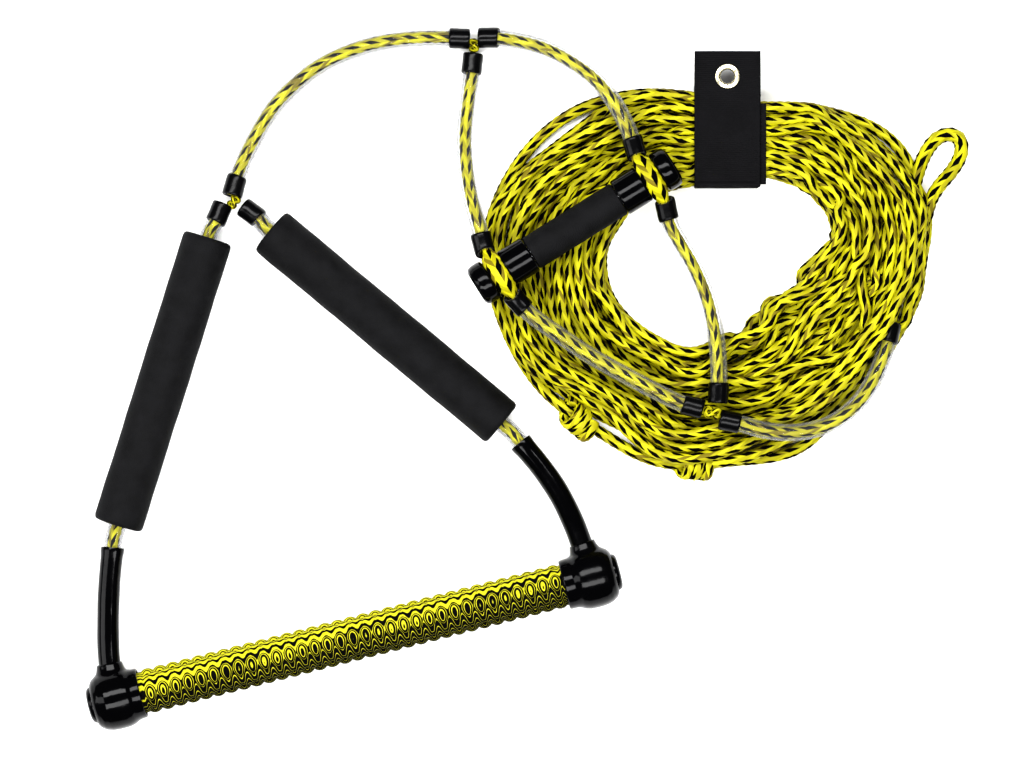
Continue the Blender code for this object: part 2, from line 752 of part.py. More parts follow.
def build_eyelet(steel):
    """A rolled eyelet through the flap and the washer behind it."""
    top = FLAP_Z + STRAP_THICK / 2
    where = placed(*strap_point(EYELET_AT, 0, 0))
    body = [
        (top + GAP, EYELET_R - 0.5),
        (top + 0.75, EYELET_R),
        (top + 1.1, EYELET_R - 0.9),
        (top + 1.25, 6.6),
        (top + 0.95, 5.2),
        (top + 0.2, EYELET_BORE_R),
        (FLAP_Z - STRAP_THICK / 2 - 0.9, EYELET_BORE_R),
        (FLAP_Z - STRAP_THICK / 2 - 0.9, 5.1),
        (top + GAP, 5.4),
    ]
    turned("keeper_eyelet", body, steel, where, (0, 0, 1), 20)
    low = FLAP_Z - STRAP_THICK / 2 - GAP
    washer = [(low - 0.6, 5.5), (low - 0.6, EYELET_R - 0.4), (low, EYELET_R), (low, 5.5)]
    turned("keeper_washer", washer, steel, where, (0, 0, 1), 20)


def clear_scene():
    for old in list(bpy.data.objects):
        bpy.data.objects.remove(old, do_unlink=True)


def main():
    clear_scene()
    yellow = material("rope_yellow", YELLOW, 0.6)
    grip = material("grip_eva", YELLOW, 0.8)
    gloss = material("black_gloss", BLACK_GLOSS, 0.18)
    foam = material("black_foam", BLACK_FOAM, 0.85)
    webbing = material("webbing", WEBBING, 0.8)
    clear = material("clear_pvc", CLEAR, 0.1)
    steel = material("plated_steel", STEEL, 0.3, 1.0)
    metal = material("aluminium", ALUMINIUM, 0.35, 1.0)
    build_main_bar(grip, gloss, gloss, metal)
    build_leg("left", LEFT_LEG, clear, gloss, foam)
    build_leg("right", RIGHT_LEG, clear, gloss, foam)
    build_bridle_rope(yellow)
    build_leader(yellow, clear, gloss)
    build_trick_bar(foam, gloss, metal)
    build_trick_rope("left", -GROOVE_MIDDLE, UPPER_LEFT, LOWER_LEFT, yellow, clear, gloss)
    build_trick_rope("right", GROOVE_MIDDLE, UPPER_RIGHT, LOWER_RIGHT, yellow, clear, gloss)
    build_mainline(yellow, clear, gloss)
    build_splices(yellow)
    build_keeper(webbing, steel)


main()
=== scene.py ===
"""Looks of a tow rope set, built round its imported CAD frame: a wide two-hand handle with floats, a short
trick handle in a rope diamond, and the mainline coiled inside a keeper strap.

Layout points are in millimetres from the middle of the main bar on the floor, and placed() turns them
into metres in the CAD frame.
"""

import math

import bmesh
import bpy
import numpy as np
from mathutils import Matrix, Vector


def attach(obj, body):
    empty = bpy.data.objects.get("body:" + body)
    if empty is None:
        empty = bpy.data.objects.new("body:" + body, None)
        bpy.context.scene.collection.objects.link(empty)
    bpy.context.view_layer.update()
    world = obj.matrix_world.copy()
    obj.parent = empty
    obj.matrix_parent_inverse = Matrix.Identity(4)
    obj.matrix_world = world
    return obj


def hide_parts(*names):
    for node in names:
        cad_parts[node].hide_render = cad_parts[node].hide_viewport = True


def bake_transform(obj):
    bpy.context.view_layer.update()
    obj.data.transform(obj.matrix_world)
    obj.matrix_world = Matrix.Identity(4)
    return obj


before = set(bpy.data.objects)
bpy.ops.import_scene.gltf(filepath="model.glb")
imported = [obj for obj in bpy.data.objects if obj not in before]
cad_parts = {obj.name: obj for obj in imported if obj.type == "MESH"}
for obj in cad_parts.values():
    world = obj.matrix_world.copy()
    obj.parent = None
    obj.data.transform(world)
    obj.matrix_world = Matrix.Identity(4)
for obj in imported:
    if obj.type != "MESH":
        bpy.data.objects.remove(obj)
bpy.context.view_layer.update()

MM = 0.001
BAR = np.array([-54.322, -149.625, 0.0])  # the middle of the main bar, from the origin

# Radii, lengths, heights and places
ROPE_R = 4.0
TUBE_R = 6.0
TUBE_BORE_R = 5.1
SLEEVE_R = 7.2
SLEEVE_LENGTH = 14.3
BAR_Z = 21.0
FLOAT_Z = 17.6
TRICK_CENTRE = np.array([219.0, 239.5])
TRICK_ANGLE = math.radians(17.75)
TRICK_Z = 46.6
GROOVE_MIDDLE = 62.0
STRAP_FOLD = np.array([329.0, 241.1])
STRAP_ALONG = np.array([0.2474, 0.9690])
STRAP_RIGHT = np.array([0.9690, -0.2474])
FLAP_Z = 28.7
FLAP_WIDTH = 46.0
BAND_WIDTH = 44.5
EYELET_AT = 75.8  # along the strap from its fold
COIL_CENTRE = np.array([309.0, 192.0])

# Colours of the grip's yellow layers, light and in the shade of the mottling
GRIP_YELLOW = (0.48, 0.465, 0.028)
GRIP_YELLOW_DARK = (0.36, 0.345, 0.018)


def placed(points):
    """Layout points in metres in the CAD frame."""
    return (np.asarray(points, float) + BAR) * MM


def trick_point(along, across, up=0.0):
    """A layout point measured along the trick bar, across it towards the leader, and up from its axis."""
    c, s = math.cos(TRICK_ANGLE), math.sin(TRICK_ANGLE)
    x = TRICK_CENTRE[0] + along * c - across * s
    y = TRICK_CENTRE[1] + along * s + across * c
    return np.array([x, y, TRICK_Z + up])


def strap_point(along, across, z):
    """A layout point measured along the keeper strap from its fold, across it to the right, and up."""
    x, y = STRAP_FOLD + STRAP_ALONG * along + STRAP_RIGHT * across
    return np.array([x, y, z])


# ---- Camera ----


def make_camera():
    """Straight down, turned so that the main bar rises to the right, with a long lens."""
    data = bpy.data.cameras.new("camera")
    camera = bpy.data.objects.new("camera", data)
    bpy.context.scene.collection.objects.link(camera)
    distance, seen = 3.6, 0.709  # metres up, and metres across the picture
    data.sensor_width = 36.0
    data.lens = 36.0 * distance / seen
    data.clip_end = 20.0
    middle = placed([146.9, 147.8, 0.0])
    camera.location = (middle[0], middle[1], distance)
    camera.rotation_euler = (0.0, 0.0, math.radians(-14.3))
    bpy.context.scene.camera = camera


make_camera()


# ---- Materials ----


class Nodes:
    """A material's node tree round one Principled shader."""

    def __init__(self, name, colour, roughness, **settings):
        self.material = bpy.data.materials.new(name)
        self.material.use_nodes = True
        self.tree = self.material.node_tree
        self.shader = self.tree.nodes["Principled BSDF"]
        self.shader.inputs["Base Color"].default_value = (*colour, 1.0)
        self.shader.inputs["Roughness"].default_value = roughness
        for key, value in settings.items():
            self.shader.inputs[key.replace("_", " ")].default_value = value

    def feed(self, socket, value):
        """Links a node's output to a socket, or sets the socket to a plain value."""
        if isinstance(value, bpy.types.NodeSocket):
            self.tree.links.new(value, socket)
        else:
            socket.default_value = value

    def add(self, kind, **inputs):
        made = self.tree.nodes.new("ShaderNode" + kind)
        for key, value in inputs.items():
            self.feed(made.inputs[key.replace("_", " ")], value)
        return made

    def into(self, name, socket):
        self.tree.links.new(socket, self.shader.inputs[name])

    def coords(self, kind="Object", scale=(1, 1, 1)):
        where = self.tree.nodes.new("ShaderNodeTexCoord")
        return self.add("Mapping", Vector=where.outputs[kind], Scale=scale).outputs[0]

    def noise(self, where, scale, detail=4.0, roughness=0.5):
        made = self.add("TexNoise", Vector=where, Scale=scale, Detail=detail, Roughness=roughness)
        return made.outputs["Fac"]

    def ramp(self, value, stops):
        made = self.add("ValToRGB", Fac=value)
        band = made.color_ramp
        while len(band.elements) < len(stops):
            band.elements.new(0.5)
        for element, (place, colour) in zip(band.elements, stops):
            element.position = place
            element.color = (*colour, 1.0)
        return made.outputs["Color"]

    def spread(self, value, low, high, start=0.0, end=1.0):
        """The value carried from the range start to end over to the range low to high."""
        made = self.add("MapRange", Value=value, From_Min=start, From_Max=end, To_Min=low, To_Max=high)
        return made.outputs[0]

    def maths(self, operation, one, two=0.0):
        made = self.tree.nodes.new("ShaderNodeMath")
        made.operation = operation
        for socket, value in zip(made.inputs, (one, two)):
            self.feed(socket, value)
        return made.outputs[0]

    def bump(self, height, strength, distance):
        made = self.add("Bump", Height=height, Strength=strength, Distance=distance)
        self.into("Normal", made.outputs["Normal"])

    def grain(self, height, low, high, strength, distance):
        """One pattern for the roughness, from low to high, and for the relief."""
        self.into("Roughness", self.spread(height, low, high))
        self.bump(height, strength, distance)
        return self.material


def rope_material(name, colour, roughness, shine=0.25):
    """Bundled filaments: fine ridges that run along each pick of the braid."""
    m = Nodes(name, colour, roughness, Specular_IOR_Level=shine)
    fine = m.noise(m.coords("UV", (26.0, 1.1, 1.0)), 1.0, 3.0, 0.6)
    return m.grain(fine, roughness - 0.12, roughness + 0.15, 0.55, 0.0004)


def gloss_material(name, colour, roughness):
    """Moulded or shrunk black plastic: smudged shine over faint ripples."""
    m = Nodes(name, colour, roughness, Coat_Weight=0.04, Coat_Roughness=0.06, Specular_IOR_Level=0.14)
    where = m.coords()
    smudge = m.noise(where, 55.0, 5.0, 0.6)
    m.into("Roughness", m.spread(smudge, roughness - 0.05, roughness + 0.12, 0.3, 0.8))
    m.bump(m.noise(where, 160.0, 2.0), 0.12, 0.0008)
    return m.material


def foam_material():
    """Closed-cell foam: fine pores, faint mottling."""
    deep, worn = (0.006, 0.006, 0.0065), (0.011, 0.011, 0.012)
    m = Nodes("foam_black", deep, 0.8, Specular_IOR_Level=0.12)
    where = m.coords()
    mottle = m.noise(where, 90.0, 4.0)
    m.into("Base Color", m.ramp(mottle, [(0.3, deep), (0.75, worn)]))
    m.into("Roughness", m.spread(mottle, 0.62, 0.82))
    pores = m.add("TexVoronoi", Vector=where, Scale=1300.0).outputs["Distance"]
    fine = m.noise(where, 900.0, 3.0)
    height = m.maths("ADD", pores, m.maths("MULTIPLY", fine, 0.8))
    m.bump(height, 0.45, 0.0004)
    return m.material


def clear_material():
    """Soft clear PVC: nearly clear face on, paler and shinier where the wall is seen edge on."""
    m = Nodes("pvc_clear", (0.25, 0.255, 0.27), 0.12, Specular_IOR_Level=0.6, Coat_Weight=0.2)
    wave = m.noise(m.coords(), 70.0, 3.0)
    m.grain(wave, 0.06, 0.2, 0.15, 0.001)
    facing = m.add("LayerWeight", Blend=0.5).outputs["Facing"]
    edge = m.maths("POWER", facing, 1.75)
    share = m.spread(m.maths("ADD", edge, m.maths("MULTIPLY", wave, 0.03)), 0.03, 0.85)
    see = m.add("BsdfTransparent")
    mix = m.add("MixShader", Fac=share)
    m.tree.links.new(see.outputs[0], mix.inputs[1])
    m.tree.links.new(m.shader.outputs[0], mix.inputs[2])
    m.tree.links.new(mix.outputs[0], m.tree.nodes["Material Output"].inputs["Surface"])
    return m.material


def webbing_material():
    """Black polypropylene tape: glossy filaments over a dull ground."""
    deep, worn = (0.0022, 0.0021, 0.0028), (0.0045, 0.0042, 0.0054)
    m = Nodes("webbing_black", (0.003, 0.003, 0.0035), 0.65, Specular_IOR_Level=0.12)
    where = m.coords()
    m.into("Base Color", m.ramp(m.noise(where, 60.0, 3.0), [(0.3, deep), (0.8, worn)]))
    return m.grain(m.noise(where, 1400.0, 3.0, 0.7), 0.42, 0.75, 0.5, 0.0003)


def metal_material(name, colour, roughness, stretch=1.0):
    """Plated or drawn metal, its grain stretched across the drawing direction."""
    m = Nodes(name, colour, roughness, Metallic=1.0)
    fine = m.noise(m.coords("Object", (1.0, 1.0, stretch)), 900.0, 3.0, 0.7)
    return m.grain(fine, roughness - 0.1, roughness + 0.18, 0.2, 0.0002)


def tufted_material(name, scale, strength):
    """The tufts of a hook patch or a loop patch."""
    m = Nodes(name, (0.012, 0.012, 0.013), 0.8, Sheen_Weight=0.3)
    tufts = m.add("TexVoronoi", Vector=m.coords(), Scale=scale).outputs["Distance"]
    return m.grain(tufts, 0.6, 0.95, strength, 0.0008)


MAT = {
    "rope_a": rope_material("rope_yellow_mid", (0.315, 0.290, 0.004), 0.5),
    "rope_b": rope_material("rope_yellow_light", (0.430, 0.405, 0.006), 0.48),
    "rope_c": rope_material("rope_yellow_deep", (0.150, 0.122, 0.003), 0.55),
    "rope_k": rope_material("rope_black", (0.002, 0.0018, 0.0016), 0.65, 0.04),
    "gloss": gloss_material("moulded_black", (0.0015, 0.0015, 0.002), 0.11),
    "sleeve": gloss_material("sleeve_black", (0.003, 0.003, 0.0035), 0.2),
    "foam": foam_material(),
    "clear": clear_material(),
    "webbing": webbing_material(),
    "steel": metal_material("nickel_plate", (0.60, 0.56, 0.40), 0.24),
    "aluminium": metal_material("aluminium_drawn", (0.72, 0.73, 0.75), 0.34, 14.0),
    "hook": tufted_material("hook_tape", 900.0, 0.9),
    "loop": tufted_material("loop_tape", 1500.0, 0.6),
}


# ---- Curves and meshes ----


def spline(points, spacing=1.0):
    """Evenly spaced points on the centripetal Catmull-Rom curve through points."""
    p = np.asarray(points, float)
    p = np.vstack([2 * p[0] - p[1], p, 2 * p[-1] - p[-2]])
    pieces = []
    for a, b, c, d in zip(p, p[1:], p[2:], p[3:]):
        t1 = max(np.linalg.norm(b - a), 1e-9) ** 0.5
        t2 = t1 + max(np.linalg.norm(c - b), 1e-9) ** 0.5
        t3 = t2 + max(np.linalg.norm(d - c), 1e-9) ** 0.5
        count = max(4, int(np.linalg.norm(c - b) / spacing * 2))
        t = np.linspace(t1, t2, count, endpoint=False)[:, None]
        ab = (t1 - t) / t1 * a + t / t1 * b
        bc = (t2 - t) / (t2 - t1) * b + (t - t1) / (t2 - t1) * c
        cd = (t3 - t) / (t3 - t2) * c + (t - t2) / (t3 - t2) * d
        abc = (t2 - t) / t2 * ab + t / t2 * bc
        bcd = (t3 - t) / (t3 - t1) * bc + (t - t1) / (t3 - t1) * cd
        pieces.append((t2 - t) / (t2 - t1) * abc + (t - t1) / (t2 - t1) * bcd)
    pieces.append(p[-2][None, :])
    return even(np.vstack(pieces), spacing)


def even(points, spacing):
    """Points spaced evenly along a dense line."""
    marks = np.concatenate([[0.0], np.cumsum(np.linalg.norm(np.diff(points, axis=0), axis=1))])
    count = max(2, int(round(marks[-1] / spacing)) + 1)
    wanted = np.linspace(0.0, marks[-1], count)
    return np.stack([np.interp(wanted, marks, points[:, k]) for k in range(3)], axis=1)


class Line:
    """A dense centreline with its length marks and, at any distance, its place and directions."""

    def __init__(self, points, up=(0.0, 0.0, 1.0)):
        self.points = np.asarray(points, float)
        steps = np.linalg.norm(np.diff(self.points, axis=0), axis=1)
        self.marks = np.concatenate([[0.0], np.cumsum(steps)])
        self.length = float(self.marks[-1])
        ahead = np.gradient(self.points, axis=0)
        self.ahead = ahead / np.linalg.norm(ahead, axis=1)[:, None]
        up = np.broadcast_to(np.asarray(up, float), self.points.shape)
        lift = up - self.ahead * (up * self.ahead).sum(1)[:, None]
        self.up = lift / np.maximum(np.linalg.norm(lift, axis=1), 1e-9)[:, None]

    def read(self, values, distance):
        return np.stack([np.interp(distance, self.marks, values[:, k]) for k in range(3)], axis=-1)

    def place(self, distance):
        """Places, with straight run-outs past the ends."""
        distance = np.asarray(distance, float)
        spot = self.read(self.points, distance)
        before = np.minimum(distance, 0.0)[..., None]
        after = np.maximum(distance - self.length, 0.0)[..., None]
        return spot + before * self.ahead[0] + after * self.ahead[-1]

    def directions(self, distance):
        """The directions to the side and up."""
        ahead = self.read(self.ahead, distance)
        ahead /= np.linalg.norm(ahead, axis=-1)[..., None]
        up = self.read(self.up, distance)
        up -= ahead * (up * ahead).sum(-1)[..., None]
        up /= np.linalg.norm(up, axis=-1)[..., None]
        return np.cross(up, ahead), up

    def near(self, point):
        """The distance of the place nearest a point."""
        return float(self.marks[np.argmin(np.linalg.norm(self.points - np.asarray(point), axis=1))])


def new_object(name, verts, faces, surfaces, slots=None, uvs=None):
    """A smooth mesh object from layout-millimetre vertices and quads or polygons."""
    mesh = bpy.data.meshes.new(name)
    mesh.from_pydata(placed(verts).reshape(-1, 3).tolist(), [], faces)
    for surface in surfaces:
        mesh.materials.append(surface)
    if slots is not None:
        mesh.polygons.foreach_set("material_index", np.asarray(slots, np.int32))
    mesh.polygons.foreach_set("use_smooth", np.ones(len(mesh.polygons), bool))
    if uvs is not None:
        layer = mesh.uv_layers.new(name="UVMap")
        layer.data.foreach_set("uv", np.asarray(uvs, np.float32).ravel())
    mesh.update()
    made = bpy.data.objects.new(name, mesh)
    bpy.context.scene.collection.objects.link(made)
    return made


def grid_faces(rows, columns):
    """Quads of a grid whose columns close into a ring."""
    i = np.arange(rows - 1)[:, None]
    k = np.arange(columns)[None, :]
    j = (k + 1) % columns
    quads = [i * columns + k, i * columns + j, (i + 1) * columns + j, (i + 1) * columns + k]
    return np.stack(quads, axis=-1).reshape(-1, 4).tolist()


def looped_faces(rows, sides):
    """The grid's quads and those that join its last row to its first."""
    last = (rows - 1) * sides
    return grid_faces(rows, sides) + [
        (last + k, last + (k + 1) % sides, (k + 1) % sides, k) for k in range(sides)
    ]


def capped_faces(rows, sides):
    """The grid's quads and a face on its first and on its last row."""
    return grid_faces(rows, sides) + [
        tuple(range(sides - 1, -1, -1)), tuple(range((rows - 1) * sides, rows * sides))
    ]


def sweep(name, line, start, end, profile, surface, sides):
    """A turned profile of (share of the way from start to end, radius) points bent along a line. The
    profile is closed: it runs along the outside and back along the bore."""
    angles = np.linspace(0.0, math.tau, sides, endpoint=False)
    shares = np.array([p[0] for p in profile])
    radii = np.array([p[1] for p in profile])
    distance = start + shares * (end - start)
    side, up = line.directions(distance)
    verts = (
        line.place(distance)[:, None, :]
        + radii[:, None, None] * np.cos(angles)[None, :, None] * side[:, None, :]
        + radii[:, None, None] * np.sin(angles)[None, :, None] * up[:, None, :]
    )
    made = new_object(name, verts, looped_faces(len(profile), sides), [surface])
    point_outward(made)
    return made


def point_outward(made, merge=False):
    """Turns all faces outward and, for a merged mesh, first joins vertices that coincide."""
    bm = bmesh.new()
    bm.from_mesh(made.data)
    if merge:
        bmesh.ops.remove_doubles(bm, verts=bm.verts, dist=1e-7)
        bmesh.ops.dissolve_degenerate(bm, dist=1e-7, edges=bm.edges)
    bmesh.ops.recalc_face_normals(bm, faces=bm.faces)
    bm.to_mesh(made.data)
    bm.free()


def pipe_profile(length, outer, bore, rim=0.4, step=4.0):
    """A pipe's closed profile with rounded rims and enough rings to bend."""
    count = max(2, int(length / step))
    along = np.linspace(rim, length - rim, count)
    points = [(0.0, outer - rim), (rim * 0.3, outer - rim * 0.3)]
    points += [(a, outer) for a in along]
    points += [(length - rim * 0.3, outer - rim * 0.3), (length, outer - rim)]
    points += [(length, bore + rim * 0.4)]
    points += [(a, bore) for a in along[::-1]]
    points += [(0.0, bore + rim * 0.4)]
    return [(a / length, r) for a, r in points]


# ---- Braided rope ----

COLUMNS = 8
PICK = 5.4  # length of a pick along the rope
SLANT = 6.4  # how far along the rope a pick's one side lies from its other
REPEAT = 2.5  # picks from one black fleck to the next in a column
FLECK = 1.3  # length of a black fleck, in picks


def braid(name, body, nodes, line, start, end, radius=ROPE_R, rows_per_pick=4, twist=0.0, flat=None, seed=1,
          pick=PICK, slant=SLANT, offset=None):
    """A hollow braid along a line: columns of slanted picks in a herringbone. In every other column a
    black fleck comes every REPEAT picks. twist is in radians a millimetre. At a distance, flat gives the
    width and the thickness factor, and offset a shift across the line."""
    rng = np.random.default_rng(seed)
    sides = COLUMNS * 2
    step = pick / rows_per_pick
    rows = int(math.ceil((end - start) / step)) + 1
    base = np.linspace(start, end, rows)
    k = np.arange(sides)
    zigzag = np.where(k % 4 == 0, 0.0, np.where(k % 4 == 2, 1.0, 0.5)) * slant
    inset = np.minimum(1.0, np.minimum(base - start, end - base) / (slant + 0.1))
    distance = base[:, None] + (zigzag[None, :] - slant / 2) * inset[:, None]
    distance = np.clip(distance, start, end)
    pick_phase = (np.arange(rows) % rows_per_pick) / rows_per_pick
    crown = 0.5 - 0.5 * np.cos(pick_phase * math.tau)
    edge = (k % 2 == 0).astype(float)
    swell = 1.0 + 0.12 * crown[:, None] - 0.10 * edge[None, :] - 0.04
    angles = (k[None, :] + 1.0) / sides * math.tau + twist * distance
    side, up = line.directions(distance)
    wide = thick = 1.0
    if flat is not None:
        wide, thick = flat(distance)
        wide, thick = wide[..., None], thick[..., None]
    reach = (radius * swell)[..., None]
    centre = line.place(distance)
    if offset is not None:
        centre = centre + offset(distance)[..., None] * side
    verts = (
        centre
        + reach * np.cos(angles)[..., None] * side * wide
        + reach * np.sin(angles)[..., None] * up * thick
    )
    row = np.repeat(np.arange(rows - 1), sides)
    column = np.tile(k // 2, rows - 1)
    which = row // rows_per_pick
    shade = rng.integers(0, 8, size=(which.max() + 1, COLUMNS))
    slots = np.array([0, 0, 0, 0, 1, 1, 1, 2])[shade[which, column]]
    black = (column % 2 == 0) & (row % int(REPEAT * rows_per_pick) < round(FLECK * rows_per_pick))
    slots[black] = 3
    across = (np.tile(k, rows - 1) % 2) * 0.5 + column * 1.7
    corners = np.array([(0.0, 0.0), (0.0, 0.5), (1.0 / rows_per_pick, 0.5), (1.0 / rows_per_pick, 0.0)])
    uvs = np.stack([row / rows_per_pick, across], 1)[:, None] + corners
    made = new_object(
        name, verts, capped_faces(rows, sides),
        [MAT["rope_a"], MAT["rope_b"], MAT["rope_c"], MAT["rope_k"]],
        np.concatenate([slots, [0, 0]]),
        np.concatenate([uvs.reshape(-1, 2), np.zeros((2 * sides, 2))]),
    )
    return settle(made, "rope_yellow", body, *nodes)


# ---- Routes ----

LEFT_LEG = [
    (-14.2, 316.0, 14.0), (-22.8, 304.6, 15.8), (-27.0, 300.4, 17.2), (-29.6, 296.2, FLOAT_Z),
    (-85.1, 206.5, FLOAT_Z), (-140.6, 116.8, FLOAT_Z), (-144.8, 110.0, FLOAT_Z), (-148.6, 100.0, 18.0),
    (-155.0, 82.0, 19.0), (-161.0, 62.0, 20.0), (-166.6, 40.0, 20.8), (-169.3, 26.0, BAR_Z),
    (-170.1, 17.0, BAR_Z),
]
RIGHT_LEG = [
    (-1.2, 310.6, 14.0), (7.6, 299.5, 15.8), (10.0, 294.0, 17.0), (13.6, 289.0, FLOAT_Z),
    (75.0, 204.2, FLOAT_Z), (136.8, 118.8, FLOAT_Z), (141.2, 112.7, FLOAT_Z), (147.0, 101.0, 18.0),
    (155.6, 82.8, 19.0), (162.8, 63.0, 20.0), (167.6, 40.4, 20.8), (169.3, 26.0, BAR_Z),
    (170.1, 17.0, BAR_Z),
]
GUARD_TOP = {"left": (-147.4, 103.0, 18.0), "right": (145.6, 103.6, 18.0)}
GUARD_FOOT = {"left": (-170.2, 19.0, BAR_Z), "right": (170.2, 19.0, BAR_Z)}
FLOAT_MIDDLE = {"left": (-85.1, 206.5, FLOAT_Z), "right": (75.0, 204.2, FLOAT_Z)}
CAP_TURN = [(169.2, 9.5, BAR_Z), (165.0, 3.6, BAR_Z), (158.0, 0.6, BAR_Z), (150.0, 0.0, BAR_Z)]
LEADER = [
    (-7.0, 319.8, 13.4), (-0.4, 331.2, 11.6), (12.6, 348.6, 7.6), (35.1, 371.7, 6.1), (52.5, 383.2, 6.1),
    (72.9, 392.4, 6.1), (95.8, 397.4, 6.1), (121.3, 398.2, 6.1), (145.7, 394.8, 6.3), (166.4, 389.6, 7.3),
    (181.0, 385.4, 7.5),
]
UPPER_LEFT = [
    (180.9, 374.8, 7.5), (175.8, 361.2, 8.5), (168.0, 341.5, 12.0), (161.0, 321.8, 18.0),
    (156.4, 300.8, 27.0), (154.0, 276.6, 37.5), (154.4, 256.0, 45.0),
]
UPPER_RIGHT = [
    (187.0, 384.6, 7.5), (201.0, 381.0, 8.8), (213.5, 375.6, 12.0), (230.2, 365.6, 18.5),
    (245.8, 351.0, 28.0), (257.5, 335.9, 36.5), (265.0, 320.5, 42.0), (269.6, 304.5, 45.5),
    (272.0, 290.0, 46.8),
]
LOWER_LEFT = [
    (173.6, 189.0, 46.0), (189.5, 169.9, 44.5), (206.4, 151.1, 43.0), (223.8, 134.4, 41.6),
    (241.4, 118.4, 40.4), (259.7, 103.0, 39.4), (273.6, 94.8, 39.0),
]
LOWER_RIGHT = [
    (283.4, 225.0, 46.0), (287.6, 209.0, 44.8), (292.1, 193.5, 43.6), (295.9, 168.5, 42.0),
    (295.3, 144.8, 40.5), (292.3, 124.0, 39.4), (289.0, 110.2, 39.0), (284.7, 96.5, 39.0),
]
OVER_GROOVE = [(17.5, 0.4), (13.2, 4.5), (8.2, 8.9), (0.0, 11.5), (-8.2, 8.9), (-13.2, 4.5), (-17.5, 0.4)]
MAINLINE = [
    (283.3, 85.2, 39.0), (296.2, 78.9, 39.0), (312.2, 70.0, 38.8), (328.8, 64.3, 38.2),
    (344.4, 62.4, 37.2), (361.0, 64.2, 34.4), (380.4, 73.0, 28.2), (396.4, 87.6, 21.5),
    (409.0, 105.4, 17.0), (417.2, 120.8, 14.6), (423.0, 132.0, 13.2),
]
TUBE_END = (417.2, 120.8, 14.6)
TOW_LOOP = [
    (457.4, 210.6, 11.4), (462.6, 220.0, 9.6), (471.2, 230.8, 6.2), (480.4, 237.4, 4.9),
    (489.0, 238.2, 4.9), (494.8, 234.2, 4.9), (495.4, 227.4, 4.9), (491.6, 219.6, 4.9), (483.6, 212.0, 5.4),
    (473.6, 205.0, 7.2), (465.0, 196.6, 9.0), (458.6, 185.6, 8.2), (452.2, 173.2, 6.8), (447.2, 162.8, 6.4),
]
COIL_OUTER = [153, 151, 131, 113, 115, 130, 146, 156, 161, 156, 151, 144, 146, 141, 144, 133, 137, 146]
COIL_INNER = [82, 80, 72, 62, 57, 57, 64, 69, 76, 76, 71, 66, 63, 52, 45, 40, 44, 55]


# ---- The coil's turns ----

TURNS = 25
STATIONS = 72
START_TURN = -0.062
TAIL = 7  # stations past the last whole turn, before the tow loop
EDGE_TURN = 12  # the outermost turn, which leaves small gaps between itself and the rest
BUNDLE_TOP = 31.5
STRAP_PINCH = 4.9  # how much lower the bundle is inside the strap
STEPS = 280
SMOOTH_STEPS = 262  # the last steps only push the turns apart


def around(values, turn):
    """Values at shares of a whole turn on the closed smooth curve through evenly spaced values."""
    v = np.asarray(values, float)
    place = np.asarray(turn) % 1.0 * len(v)
    i = np.floor(place).astype(int)
    t = place - i
    a, b, c, d = (v[(i + k) % len(v)] for k in (-1, 0, 1, 2))
    return b + 0.5 * t * (c - a + t * (2 * a - 5 * b + 4 * c - d + t * (3 * (b - c) + d - a)))


def smoothstep(values):
    """Eases values from 0 to 1, level at both ends."""
    t = np.clip(values, 0.0, 1.0)
    return t * t * (3 - 2 * t)


def hump(turn, degrees, half_width):
    """1 at an angle round the coil, falling smoothly to 0 at half_width degrees from it."""
    away = np.abs((np.asarray(turn) - degrees / 360 + 0.5) % 1.0 - 0.5) * 360 / half_width
    return smoothstep(1.0 - away)


